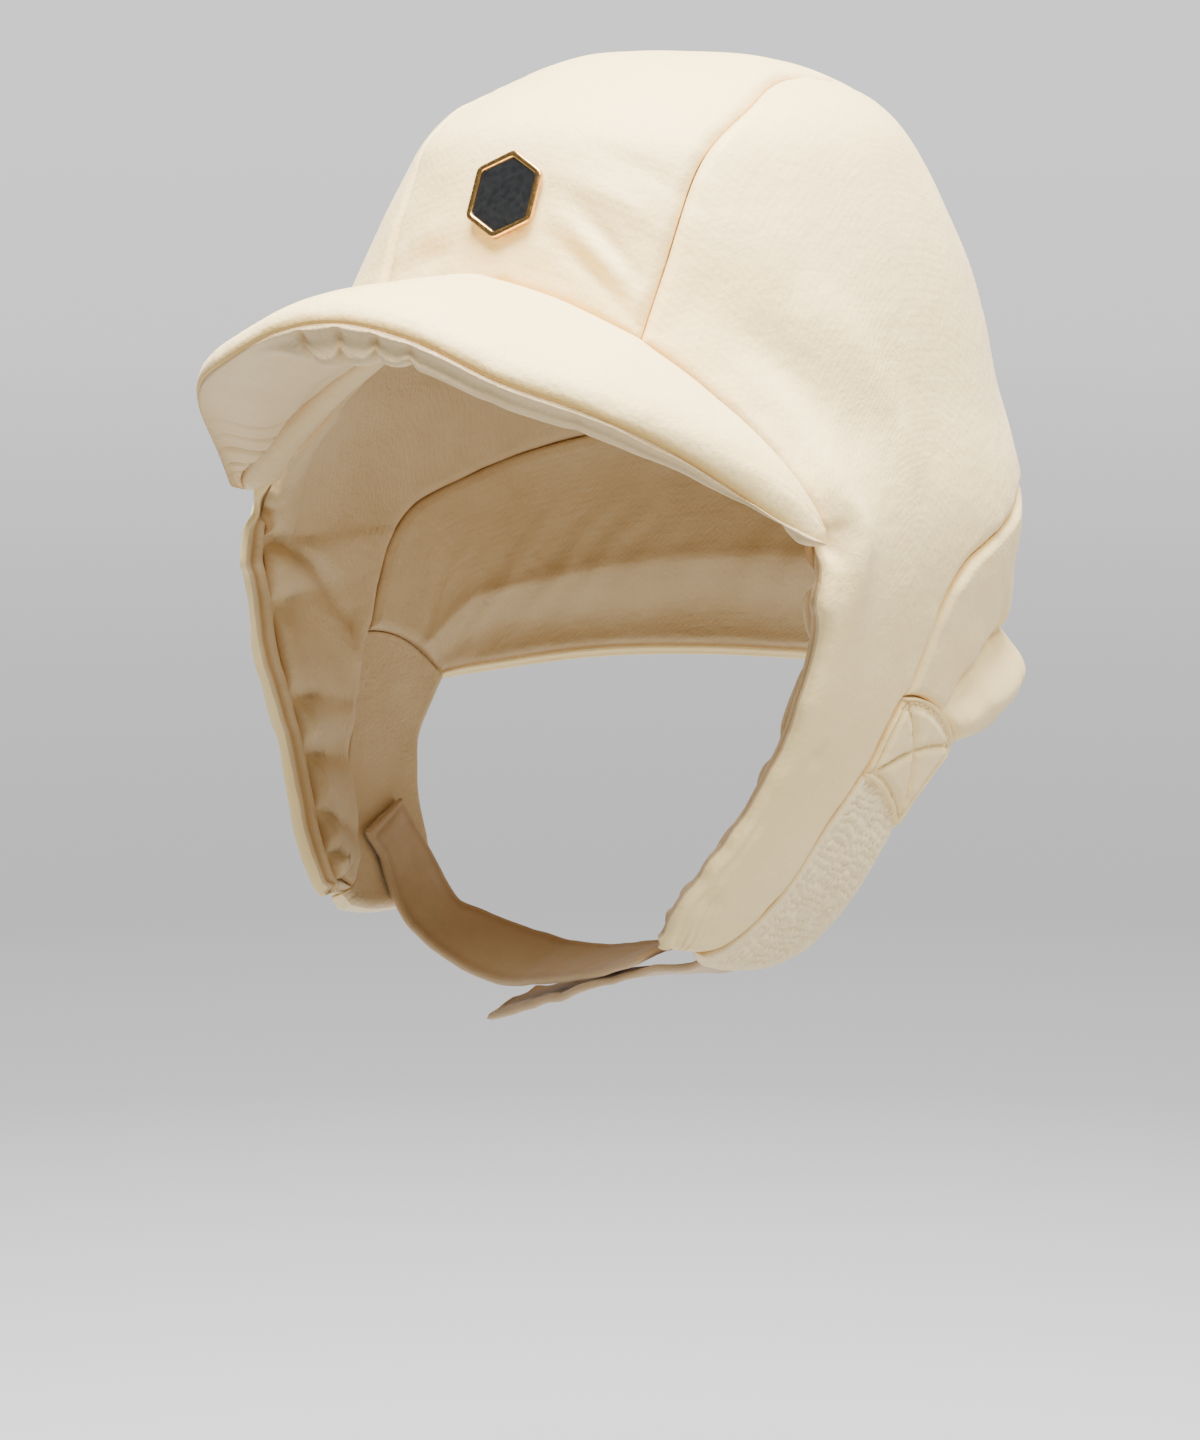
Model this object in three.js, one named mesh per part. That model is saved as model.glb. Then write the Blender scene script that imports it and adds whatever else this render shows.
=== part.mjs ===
// Padded winter balaclava cap: a hood-shaped cap with a padded peak, long cheek flaps and a
// two-part chin strap. Millimetres, +Z up, the wearer faces -Y and the wearer's left is +X.
// The origin is the inside of the crown top, where the cap sits on a head.
import * as THREE from "three";
import { mergeVertices } from "three/addons/utils/BufferGeometryUtils.js";

// Overall sizes
const HOOD_HEIGHT = 275; // crown top down to the lowest section
const HALF_WIDTH = 107.5; // centre plane to the outside over the ear
const FRONT_REACH = 104.5; // axis to the outside at the forehead
const BACK_REACH = 112.5; // axis to the outside at the back of the head
const PEAK_REACH = 79; // forehead seam to the peak's front edge

// Walls and clearances
const PAD = 8; // padded outer layer
const LINING = 1.8; // inner fabric layer
const LAYER_GAP = 0.4; // between padded layer and lining
const SEAM_GAP = 0.6; // between two panels at a seam
const WALL = PAD + LAYER_GAP + LINING;
const SEAM_DIP = 2.6; // how far a panel sinks at a seam
const EDGE_ROUND = 3; // how far the padding rolls in at a free edge
const LINING_INSET = 4; // lining kept back from a free edge
const EDGE_THIN = 2.5; // how far the padding's inner face rises at a free edge
const TAPE_WALL = 6; // tape panel behind each cheek flap
const PATCH = 1.6; // stitched patch over the tape panel's top end
const PATCH_LENGTH = 31; // along the tape panel
const PATCH_GAP = 0.35;
const PEAK_TOP = 3.6; // upper layer of the peak
const PEAK_UNDER = 8; // lower, softer layer of the peak
const PEAK_CROWN = 5; // how far the peak bows up between root and edge
const STRAP = 2.4; // chin strap thickness
const STRAP_LEFT_WIDTH = 25;
const STRAP_RIGHT_WIDTH = 29;
const STRAP_STEPS = 3; // between two stations of a strap's route
const STRAP_COLUMNS = [-1, -0.9, 0, 0.9, 1]; // across a strap, in half widths
const STRAP_EDGE = 0.3; // thickness left at a strap's edges
const STRAP_SEAT = 0.7; // between a chin strap and the tape panel it is sewn to
const BADGE_WIDTH = 23;
const BADGE_HEIGHT = 28;
const BADGE_RIM = 2; // rim width
const BADGE_DEPTH = 2.2; // rim height
const ENAMEL_DROP = 0.5; // enamel below the rim's face
const BADGE_GAP = 0.3;

// Grid counts
const SEAM_STEPS = 16; // along the crown seam, forehead to nape
const CENTRE_STEPS = 10; // across the centre panel
const BROW_STEPS = 6; // forehead seam corner to the peak's end
const CHEEK_STEPS = 12; // peak's end to the flap's tip
const NAPE_STEPS = 7; // crown seam to the top of the tape panel
const TAPE_STEPS = BROW_STEPS + CHEEK_STEPS - NAPE_STEPS;
const BAND_STEPS = 8; // down the neck panel and across the tape panel
const PATCH_STEPS = 3; // along the cross patch
const PEAK_STEPS = 5; // forehead seam to the peak's edge

// Level sections of the outside. depth is a share of HOOD_HEIGHT, width of HALF_WIDTH, front of
// FRONT_REACH and back of BACK_REACH; the two squareness columns are superellipse powers.
const SECTIONS = [
  { depth: 0.0, width: 0.0, front: 0.0, back: 0.0, frontSquare: 2.0, backSquare: 2.0 },
  { depth: 0.0084, width: 0.256, front: 0.252, back: 0.329, frontSquare: 2.1, backSquare: 2.1 },
  { depth: 0.0305, width: 0.419, front: 0.423, back: 0.528, frontSquare: 2.2, backSquare: 2.1 },
  { depth: 0.0763, width: 0.6, front: 0.68, back: 0.69, frontSquare: 2.3, backSquare: 2.1 },
  { depth: 0.1527, width: 0.722, front: 0.799, back: 0.832, frontSquare: 2.4, backSquare: 2.1 },
  { depth: 0.2481, width: 0.82, front: 0.894, back: 0.93, frontSquare: 2.5, backSquare: 2.1 },
  { depth: 0.3626, width: 0.902, front: 1.0, back: 0.972, frontSquare: 3.0, backSquare: 2.1 },
  { depth: 0.5153, width: 1.0, front: 1.307, back: 1.0, frontSquare: 4.6, backSquare: 2.2 },
  { depth: 0.6298, width: 0.98, front: 1.367, back: 0.925, frontSquare: 4.0, backSquare: 2.3 },
  { depth: 0.7252, width: 0.937, front: 1.337, back: 0.907, frontSquare: 3.2, backSquare: 2.4 },
  { depth: 0.8206, width: 0.873, front: 1.307, back: 0.86, frontSquare: 2.8, backSquare: 2.4 },
  { depth: 0.8664, width: 0.834, front: 1.312, back: 0.822, frontSquare: 2.65, backSquare: 2.4 },
  { depth: 0.9389, width: 0.741, front: 1.307, back: 0.766, frontSquare: 2.6, backSquare: 2.4 },
  { depth: 1.0, width: 0.644, front: 1.307, back: 0.71, frontSquare: 2.6, backSquare: 2.4 },
];

// Lines on the outside. turn is degrees round from the forehead, depth a share of HOOD_HEIGHT.
const FOREHEAD = [
  { turn: 0, depth: 0.2294 },
  { turn: 12.8, depth: 0.2454 },
  { turn: 20.6, depth: 0.2618 },
  { turn: 27.6, depth: 0.2809 },
];
const BROW = [
  { turn: 27.6, depth: 0.2809 },
  { turn: 37.0, depth: 0.3271 },
  { turn: 45.2, depth: 0.3817 },
  { turn: 49.6, depth: 0.4305 },
  { turn: 52.8, depth: 0.486 },
];
const CHEEK = [
  { turn: 52.8, depth: 0.486 },
  { turn: 52.0, depth: 0.5466 },
  { turn: 51.5, depth: 0.6179 },
  { turn: 49.3, depth: 0.6828 },
  { turn: 44.7, depth: 0.7718 },
  { turn: 38.1, depth: 0.8443 },
  { turn: 33.4, depth: 0.8901 },
  { turn: 32.3, depth: 0.928 },
];
const NAPE_BACK = [
  { turn: 168, depth: 0.444 },
  { turn: 174, depth: 0.443 },
  { turn: 180, depth: 0.442 },
];
const NAPE_SIDE = [
  { turn: 168, depth: 0.444 },
  { turn: 145, depth: 0.456 },
  { turn: 120, depth: 0.487 },
  { turn: 106, depth: 0.5134 },
  { turn: 97.8, depth: 0.5275 },
  { turn: 90, depth: 0.5443 },
  { turn: 83.5, depth: 0.579 },
  { turn: 79.3, depth: 0.6229 },
  { turn: 76, depth: 0.663 },
  { turn: 73.9, depth: 0.6775 },
];
const TAPE_SEAM = [
  { turn: 73.9, depth: 0.6775 },
  { turn: 70.1, depth: 0.7076 },
  { turn: 66.4, depth: 0.75 },
  { turn: 59.0, depth: 0.808 },
  { turn: 52.7, depth: 0.8714 },
  { turn: 47.3, depth: 0.9088 },
  { turn: 42.0, depth: 0.932 },
  { turn: 37.6, depth: 0.938 },
];
const TAPE_REAR = [
  { turn: 95.2, depth: 0.7546 },
  { turn: 83.6, depth: 0.8118 },
  { turn: 78.1, depth: 0.8615 },
  { turn: 72.8, depth: 0.9252 },
  { turn: 65.2, depth: 0.9664 },
  { turn: 59.3, depth: 0.977 },
  { turn: 53.1, depth: 0.98 },
  { turn: 44.0, depth: 0.97 },
  { turn: 38.5, depth: 0.955 },
];
const NECK_HEM = [
  { turn: 95.2, depth: 0.7546 },
  { turn: 115, depth: 0.757 },
  { turn: 140, depth: 0.752 },
  { turn: 180, depth: 0.745 },
];

// Crown seam on the flat chart: along runs from the forehead corner to the nape corner and half
// is the centre panel's half width there, as a share of that between the two corners.
const CROWN_SEAM = [
  { along: 0.0, half: 1.0 },
  { along: 0.07, half: 0.99 },
  { along: 0.19, half: 0.915 },
  { along: 0.3, half: 0.93 },
  { along: 0.37, half: 0.885 },
  { along: 0.44, half: 0.83 },
  { along: 0.55, half: 0.8 },
  { along: 0.7, half: 0.82 },
  { along: 0.85, half: 0.9 },
  { along: 1.0, half: 1.0 },
];

// Neck panel's swell down its height: out is a share of PAD, gathers of NECK_GATHER_DEPTH.
const NECK_SWELL = [
  { down: 0.0, out: 0, gathers: 0 },
  { down: 0.25, out: -0.19, gathers: 0.2 },
  { down: 0.5, out: -0.38, gathers: 0.7 },
  { down: 0.625, out: -0.62, gathers: 1 },
  { down: 0.8, out: 0.62, gathers: 0.6 },
  { down: 1.0, out: 0, gathers: 0 },
];
const NECK_GATHERS = 9; // gathers across the neck panel
const NECK_GATHER_DEPTH = 1.2;

// Soft folds pressed into the padding: each lies along a short line on the flat chart, from
// (x0, y0) to (x1, y1), with a half breadth, all shares of BACK_REACH, and a height, of PAD.
const FOLDS = [
  { x0: 0.72, y0: -0.95, x1: 1.35, y1: -0.72, breadth: 0.08, height: -0.3 },
  { x0: 0.86, y0: -0.66, x1: 1.5, y1: -0.42, breadth: 0.1, height: 0.27 },
  { x0: 0.14, y0: -0.86, x1: 0.42, y1: -0.95, breadth: 0.053, height: -0.2 },
  { x0: 0.16, y0: -0.72, x1: 0.5, y1: -0.8, breadth: 0.053, height: 0.16 },
  { x0: -0.3, y0: -0.95, x1: -0.1, y1: -0.9, breadth: 0.053, height: -0.19 },
  { x0: -0.55, y0: -0.55, x1: -0.3, y1: -0.75, breadth: 0.07, height: 0.15 },
];

// Peak's front edge. across is a share of HALF_WIDTH, ahead of PEAK_REACH forward of the forehead
// seam's middle, and drop of HOOD_HEIGHT below it.
const PEAK_EDGE = [
  { across: 0.0, ahead: 1.0, drop: 0.006 },
  { across: 0.22, ahead: 0.975, drop: 0.02 },
  { across: 0.45, ahead: 0.89, drop: 0.059 },
  { across: 0.64, ahead: 0.71, drop: 0.092 },
  { across: 0.775, ahead: 0.49, drop: 0.132 },
  { across: 0.89, ahead: 0.18, drop: 0.193 },
  { across: 0.985, ahead: -0.135, drop: 0.2585 },
];
const PEAK_END_TAPER = 0.45; // thickness left at the peak's ends
const PEAK_TIP = 0.5; // thickness left at its front edge

// Chin strap routes. Each strap starts flat on the inside of its tape panel, at a turn in degrees
// and two depths. Then across is a share of HALF_WIDTH, ahead of FRONT_REACH, depth of
// HOOD_HEIGHT, and lean is the strap's tilt in degrees, front edge down.
const STRAP_SEAT_DEPTHS = [0.885, 0.93];
const STRAP_RIGHT_TURN = 59.5;
const STRAP_RIGHT_ROUTE = [
  { across: -0.515, ahead: 0.475, depth: 0.974, lean: 4 },
  { across: -0.396, ahead: 0.462, depth: 0.998, lean: 15 },
  { across: -0.272, ahead: 0.459, depth: 1.01, lean: 19 },
  { across: -0.138, ahead: 0.478, depth: 1.012, lean: 15 },
  { across: 0.025, ahead: 0.51, depth: 1.002, lean: 10 },
  { across: 0.197, ahead: 0.55, depth: 0.985, lean: 4 },
  { across: 0.366, ahead: 0.585, depth: 0.962, lean: 0 },
];
const STRAP_LEFT_TURN = 56.5;
const STRAP_LEFT_ROUTE = [
  { across: 0.5, ahead: 0.565, depth: 0.975, lean: -12 },
  { across: 0.355, ahead: 0.575, depth: 0.987, lean: -9 },
  { across: 0.205, ahead: 0.575, depth: 1.004, lean: -4 },
  { across: 0.058, ahead: 0.563, depth: 1.025, lean: 2 },
  { across: -0.077, ahead: 0.545, depth: 1.044, lean: 6 },
  { across: -0.204, ahead: 0.526, depth: 1.06, lean: 10 },
];

// A smooth curve through table values, with the slope at its start given where it matters.
function smooth(xs, ys, startSlope) {
  const last = xs.length - 1;
  const rise = (i) => (ys[i + 1] - ys[i]) / (xs[i + 1] - xs[i]);
  const slopes = xs.map((x, i) => {
    if (i === 0) return startSlope ?? rise(0);
    if (i === last) return rise(last - 1);
    const before = x - xs[i - 1];
    const after = xs[i + 1] - x;
    return (rise(i - 1) * after + rise(i) * before) / (before + after);
  });
  return (q) => {
    const x = Math.min(Math.max(q, xs[0]), xs[last]);
    let i = 0;
    while (i < last - 1 && x > xs[i + 1]) i += 1;
    const h = xs[i + 1] - xs[i];
    const t = (x - xs[i]) / h;
    const t2 = t * t;
    const t3 = t2 * t;
    return (
      (2 * t3 - 3 * t2 + 1) * ys[i] +
      (t3 - 2 * t2 + t) * h * slopes[i] +
      (3 * t2 - 2 * t3) * ys[i + 1] +
      (t3 - t2) * h * slopes[i + 1]
    );
  };
}

const column = (table, name, size = 1) => table.map((row) => row[name] * size);
const mix = (a, b, t) => a + (b - a) * t;
const radians = (degrees) => (degrees * Math.PI) / 180;

// Distance down the outside from the crown top to each section, from depth and mean reach.
const depths = column(SECTIONS, "depth", HOOD_HEIGHT);
const fronts = column(SECTIONS, "front", FRONT_REACH);
const backs = column(SECTIONS, "back", BACK_REACH);
const runs = [0];
for (let i = 1; i < SECTIONS.length; i += 1) {
  const outward = (fronts[i] + backs[i] - fronts[i - 1] - backs[i - 1]) / 2;
  runs.push(runs[i - 1] + Math.hypot(depths[i] - depths[i - 1], outward));
}
const depthAt = smooth(runs, depths, 0);
const widthAt = smooth(runs, column(SECTIONS, "width", HALF_WIDTH));
const frontAt = smooth(runs, fronts);
const backAt = smooth(runs, backs);
const frontSquareAt = smooth(runs, column(SECTIONS, "frontSquare"));
const backSquareAt = smooth(runs, column(SECTIONS, "backSquare"));

function runAtDepth(depth) {
  let low = 0;
  let high = runs[runs.length - 1];
  for (let k = 0; k < 40; k += 1) {
    const middle = (low + high) / 2;
    if (depthAt(middle) < depth) low = middle;
    else high = middle;
  }
  return (low + high) / 2;
}

// The outside surface over a flat chart: a chart point's bearing is its turn from the forehead
// and its distance from the middle is the run down from the crown top.
function outside([x, y]) {
  const run = Math.max(Math.hypot(x, y), 1e-6);
  const side = x / run;
  const back = y / run;
  const reach = back < 0 ? frontAt(run) : backAt(run);
  const power = back < 0 ? frontSquareAt(run) : backSquareAt(run);
  const radius =
    (Math.abs(side / widthAt(run)) ** power + Math.abs(back / reach) ** power) ** (-1 / power);
  return new THREE.Vector3(radius * side, radius * back, WALL - depthAt(run));
}

const CHART_STEP = 0.5;

function outward([x, y]) {
  const alongX = outside([x + CHART_STEP, y]).sub(outside([x - CHART_STEP, y]));
  const alongY = outside([x, y + CHART_STEP]).sub(outside([x, y - CHART_STEP]));
  return alongX.cross(alongY).normalize();
}

function chartPoint(turn, depth) {
  const run = runAtDepth(depth * HOOD_HEIGHT);
  return [run * Math.sin(radians(turn)), -run * Math.cos(radians(turn))];
}

// Evenly spaced chart points along a table of turns and depths.
function chartLine(table, steps) {
  const marks = table.map((row, i) => i);
  const turnAt = smooth(marks, column(table, "turn"));
  const depthShareAt = smooth(marks, column(table, "depth"));
  const fine = [];
  const FINE = 20;
  for (let k = 0; k <= (table.length - 1) * FINE; k += 1) {
    fine.push(chartPoint(turnAt(k / FINE), depthShareAt(k / FINE)));
  }
  return spaced(fine, steps);
}

function spaced(points, steps) {
  const travelled = [0];
  const places = points.map(outside);
  for (let k = 1; k < points.length; k += 1) {
    travelled.push(travelled[k - 1] + places[k].distanceTo(places[k - 1]));
  }
  const total = travelled[travelled.length - 1];
  const line = [];
  let k = 0;
  for (let i = 0; i <= steps; i += 1) {
    const wanted = (total * i) / steps;
    while (k < points.length - 2 && travelled[k + 1] < wanted) k += 1;
    const t = (wanted - travelled[k]) / (travelled[k + 1] - travelled[k]);
    line.push([mix(points[k][0], points[k + 1][0], t), mix(points[k][1], points[k + 1][1], t)]);
  }
  return line;
}

const mirrored = (line) => line.map(([x, y]) => [-x, y]);
const reversed = (line) => [...line].reverse();
const joined = (...lines) => lines.reduce((all, line) => [...all, ...line.slice(1)]);

// Panel borders on the chart, wearer's left side
const foreheadHalf = chartLine(FOREHEAD, CENTRE_STEPS / 2);
const forehead = joined(reversed(mirrored(foreheadHalf)), foreheadHalf);
const napeHalf = reversed(chartLine(NAPE_BACK, CENTRE_STEPS / 2));
const nape = joined(reversed(mirrored(napeHalf)), napeHalf);
const brow = chartLine(BROW, BROW_STEPS);
const cheek = chartLine(CHEEK, CHEEK_STEPS);
const napeSide = chartLine(NAPE_SIDE, NAPE_STEPS);
const tapeSeam = chartLine(TAPE_SEAM, TAPE_STEPS);
const tapeRear = chartLine(TAPE_REAR, TAPE_STEPS);
const neckHemHalf = chartLine(NECK_HEM, NAPE_STEPS + CENTRE_STEPS / 2);
const crownSeam = crownSeamLine();

function crownSeamLine() {
  const start = foreheadHalf[foreheadHalf.length - 1];
  const end = napeHalf[napeHalf.length - 1];
  const halfAt = smooth(column(CROWN_SEAM, "along"), column(CROWN_SEAM, "half"));
  const FINE = 80;
  const fine = [];
  for (let k = 0; k <= FINE; k += 1) {
    const t = k / FINE;
    fine.push([mix(start[0], end[0], t) * halfAt(t), mix(start[1], end[1], t)]);
  }
  return spaced(fine, SEAM_STEPS);
}

// A patch of chart points between four borders that share their corners. near and far run the
// same way, and so do left and right, which run from near to far.
function patch(near, far, left, right) {
  const across = near.length - 1;
  const along = left.length - 1;
  return left.map((leftPoint, i) =>
    near.map((nearPoint, j) => {
      const u = i / along;
      const v = j / across;
      return [0, 1].map(
        (axis) =>
          mix(nearPoint[axis], far[j][axis], u) +
          mix(leftPoint[axis], right[i][axis], v) -
          mix(mix(near[0][axis], near[across][axis], v), mix(far[0][axis], far[across][axis], v), u),
      );
    }),
  );
}

function straight(from, to, steps) {
  return Array.from({ length: steps + 1 }, (unused, i) => [
    mix(from[0], to[0], i / steps),
    mix(from[1], to[1], i / steps),
  ]);
}

// Height of the pressed folds at a chart point.
function foldHeight([x, y]) {
  let height = 0;
  for (const fold of FOLDS) {
    const ax = fold.x0 * BACK_REACH;
    const ay = fold.y0 * BACK_REACH;
    const dx = fold.x1 * BACK_REACH - ax;
    const dy = fold.y1 * BACK_REACH - ay;
    const t = Math.min(Math.max(((x - ax) * dx + (y - ay) * dy) / (dx * dx + dy * dy), 0), 1);
    const away = Math.hypot(x - ax - t * dx, y - ay - t * dy) / (fold.breadth * BACK_REACH);
    const fade = Math.sin(Math.PI * Math.min(Math.max(t, 0.12), 0.88));
    height += fold.height * PAD * fade * Math.exp(-away * away);
  }
  return height;
}

// Closes two matching grids of points, upper facing out, into one solid.
function closedGrid(upper, lower) {
  const rows = upper.length;
  const columns = upper[0].length;
  const positions = [];
  const corner = (a, b, c) => positions.push(...a.toArray(), ...b.toArray(), ...c.toArray());
  const quad = (a, b, c, d) => {
    corner(a, b, c);
    corner(a, c, d);
  };
  for (let i = 0; i < rows - 1; i += 1) {
    for (let j = 0; j < columns - 1; j += 1) {
      quad(upper[i][j], upper[i][j + 1], upper[i + 1][j + 1], upper[i + 1][j]);
      quad(lower[i][j], lower[i + 1][j], lower[i + 1][j + 1], lower[i][j + 1]);
    }
  }
  for (let j = 0; j < columns - 1; j += 1) {
    const end = rows - 1;
    quad(lower[0][j], lower[0][j + 1], upper[0][j + 1], upper[0][j]);
    quad(upper[end][j], upper[end][j + 1], lower[end][j + 1], lower[end][j]);
  }
  for (let i = 0; i < rows - 1; i += 1) {
    const end = columns - 1;
    quad(upper[i][0], upper[i + 1][0], lower[i + 1][0], lower[i][0]);
    quad(lower[i][end], lower[i + 1][end], upper[i + 1][end], upper[i][end]);
  }
  const geometry = new THREE.BufferGeometry();
  geometry.setAttribute("position", new THREE.Float32BufferAttribute(positions, 3));
  return faced(mergeVertices(geometry, 1e-4));
}

// Turns every face round where a grid was laid out left-handed, so that faces point out.
function faced(geometry) {
  const place = geometry.getAttribute("position");
  const order = geometry.index.array;
  const [a, b, c] = [0, 1, 2].map(() => new THREE.Vector3());
  let volume = 0;
  for (let k = 0; k < order.length; k += 3) {
    a.fromBufferAttribute(place, order[k]);
    b.fromBufferAttribute(place, order[k + 1]);
    c.fromBufferAttribute(place, order[k + 2]);
    volume += a.dot(b.cross(c));
  }
  if (volume < 0) {
    for (let k = 0; k < order.length; k += 3) {
      [order[k + 1], order[k + 2]] = [order[k + 2], order[k + 1]];
    }
  }
  geometry.computeVertexNormals();
  return geometry;
}

// Draws a grid's border in towards its inside, by a clearance for each side.
function drawnIn(grid, { near = 0, far = 0, left = 0, right = 0 }) {
  const rows = grid.length - 1;
  const columns = grid[0].length - 1;
  return grid.map((row, i) =>
    row.map((point, j) => {
      const moved = point.clone();
      const pull = (neighbour, distance) => {
        const step = neighbour.clone().sub(point);
        moved.addScaledVector(step, distance / Math.max(step.length(), distance));
      };
      if (i === 0 && near) pull(grid[1][j], near);
      if (i === rows && far) pull(grid[rows - 1][j], far);
      if (j === 0 && left) pull(grid[i][1], left);
      if (j === columns && right) pull(grid[i][columns - 1], right);
      return moved;
    }),
  );
}

// A layer of a panel: the chart grid raised to two heights above or below the outside surface.
function layer(chart, upperHeight, lowerHeight, clearances) {
  const raised = (heightAt) =>
    chart.map((row, i) =>
      row.map((point, j) =>
        outside(point).addScaledVector(outward(point), heightAt(point, i, j)),
      ),
    );
  return closedGrid(
    drawnIn(raised(upperHeight), clearances),
    drawnIn(raised(lowerHeight), clearances),
  );
}

// How far the padding sinks at each of a grid's borders.
function borderSink(chart, sinks) {
  const rows = chart.length - 1;
  const columns = chart[0].length - 1;
  return (i, j) =>
    Math.max(
      i === 0 ? sinks.near : 0,
      i === rows ? sinks.far : 0,
      j === 0 ? sinks.left : 0,
      j === columns ? sinks.right : 0,
    );
}

const HALF_GAP = SEAM_GAP / 2;

function padded(chart, sinks, clearances, swell = () => 0) {
  const sink = borderSink(chart, sinks);
  const upper = (point, i, j) => foldHeight(point) + swell(i, j) - sink(i, j);
  const lower = (point, i, j) => swell(i, j) - PAD + (sink(i, j) >= EDGE_ROUND ? EDGE_THIN : 0);
  return layer(chart, upper, lower, clearances);
}

function lined(chart, clearances, swell = () => 0) {
  const upper = (point, i, j) => swell(i, j) - PAD - LAYER_GAP;
  const lower = (point, i, j) => swell(i, j) - WALL;
  return layer(chart, upper, lower, clearances);
}

// Panel charts
const centreChart = patch(forehead, nape, mirrored(crownSeam), crownSeam);
const sideChart = patch(
  crownSeam,
  straight(cheek[CHEEK_STEPS], tapeSeam[TAPE_STEPS], SEAM_STEPS),
  joined(brow, cheek),
  joined(napeSide, tapeSeam),
);
const bandTop = straight(tapeSeam[0], tapeRear[0], BAND_STEPS);
const neckTop = joined(reversed(napeSide), reversed(napeHalf), mirrored(napeHalf), mirrored(napeSide));
const neckBottom = joined(neckHemHalf, reversed(mirrored(neckHemHalf)));
const neckChart = patch(neckTop, neckBottom, bandTop, mirrored(bandTop));
const tapeChart = patch(
  bandTop,
  straight(tapeSeam[TAPE_STEPS], tapeRear[TAPE_STEPS], BAND_STEPS),
  tapeSeam,
  tapeRear,
);

const swellDown = smooth(column(NECK_SWELL, "down"), column(NECK_SWELL, "out", PAD));
const gathersDown = smooth(
  column(NECK_SWELL, "down"),
  column(NECK_SWELL, "gathers", NECK_GATHER_DEPTH),
);

function neckSwell(i, j) {
  const down = i / BAND_STEPS;
  const round = j / (neckTop.length - 1);
  const ends = Math.sin(Math.PI * round) ** 0.5;
  const gather = Math.cos(2 * Math.PI * NECK_GATHERS * round);
  return ends * (swellDown(down) + gathersDown(down) * gather);
}

const PATCH_INSET = { near: 1.2, far: 0, left: 1.2, right: 1.2 };
const centreSeams = { near: HALF_GAP, far: HALF_GAP, left: HALF_GAP, right: HALF_GAP };
const allSunk = { near: SEAM_DIP, far: SEAM_DIP, left: SEAM_DIP, right: SEAM_DIP };
const sideSinks = { near: SEAM_DIP, far: EDGE_ROUND, left: EDGE_ROUND, right: SEAM_DIP };
const neckSinks = { near: SEAM_DIP, far: EDGE_ROUND, left: SEAM_DIP, right: SEAM_DIP };
const sideLiningBack = { near: HALF_GAP, far: HALF_GAP, left: LINING_INSET, right: HALF_GAP };
const neckLiningBack = { near: HALF_GAP, far: LINING_INSET, left: HALF_GAP, right: HALF_GAP };

// Tape panel: one firm layer that thins at its rear edge.
function tapeGeometry() {
  const sink = borderSink(tapeChart, { near: SEAM_DIP, far: EDGE_ROUND, left: SEAM_DIP, right: 1 });
  return layer(
    tapeChart,
    (point, i, j) => -sink(i, j),
    () => -SEAM_DIP - TAPE_WALL,
    centreSeams,
  );
}

// A chart point of the tape panel, down it from the neck and over it from the seam, as shares.
function onTape(down, over) {
  const i = Math.min(Math.floor(down * TAPE_STEPS), TAPE_STEPS - 1);
  const j = Math.min(Math.floor(over * BAND_STEPS), BAND_STEPS - 1);
  const u = down * TAPE_STEPS - i;
  const v = over * BAND_STEPS - j;
  return [0, 1].map((axis) =>
    mix(
      mix(tapeChart[i][j][axis], tapeChart[i][j + 1][axis], v),
      mix(tapeChart[i + 1][j][axis], tapeChart[i + 1][j + 1][axis], v),
      u,
    ),
  );
}

// Cross-stitched patch that lies on the top end of the tape panel.
function patchGeometry() {
  const tapeLength = tapeSeam
    .slice(1)
    .reduce((sum, point, i) => sum + outside(point).distanceTo(outside(tapeSeam[i])), 0);
  const share = Math.min(PATCH_LENGTH / tapeLength, 1);
  const chart = Array.from({ length: PATCH_STEPS + 1 }, (unused, i) =>
    Array.from({ length: BAND_STEPS + 1 }, (also, j) =>
      onTape((share * i) / PATCH_STEPS, j / BAND_STEPS),
    ),
  );
  return layer(
    chart,
    () => PATCH_GAP + PATCH,
    () => PATCH_GAP,
    PATCH_INSET,
  );
}

// The peak: two layers that start under the wall's front border and run out to the edge.
const borderChart = joined(reversed(mirrored(brow)), forehead, brow);
const borderInner = joined(
  reversed(mirrored(sideChart.slice(0, BROW_STEPS + 1).map((row) => row[1]))),
  centreChart[1],
  sideChart.slice(0, BROW_STEPS + 1).map((row) => row[1]),
);
const peakMiddle = outside(foreheadHalf[0]);

function peakEdgeLine() {
  const half = PEAK_EDGE.map((row) =>
    new THREE.Vector3(
      row.across * HALF_WIDTH,
      peakMiddle.y - row.ahead * PEAK_REACH,
      peakMiddle.z - row.drop * HOOD_HEIGHT,
    ),
  );
  const whole = [...half.slice(1).reverse().map((p) => new THREE.Vector3(-p.x, p.y, p.z)), ...half];
  return new THREE.CatmullRomCurve3(whole, false, "centripetal").getSpacedPoints(
    borderChart.length - 1,
  );
}

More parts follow.
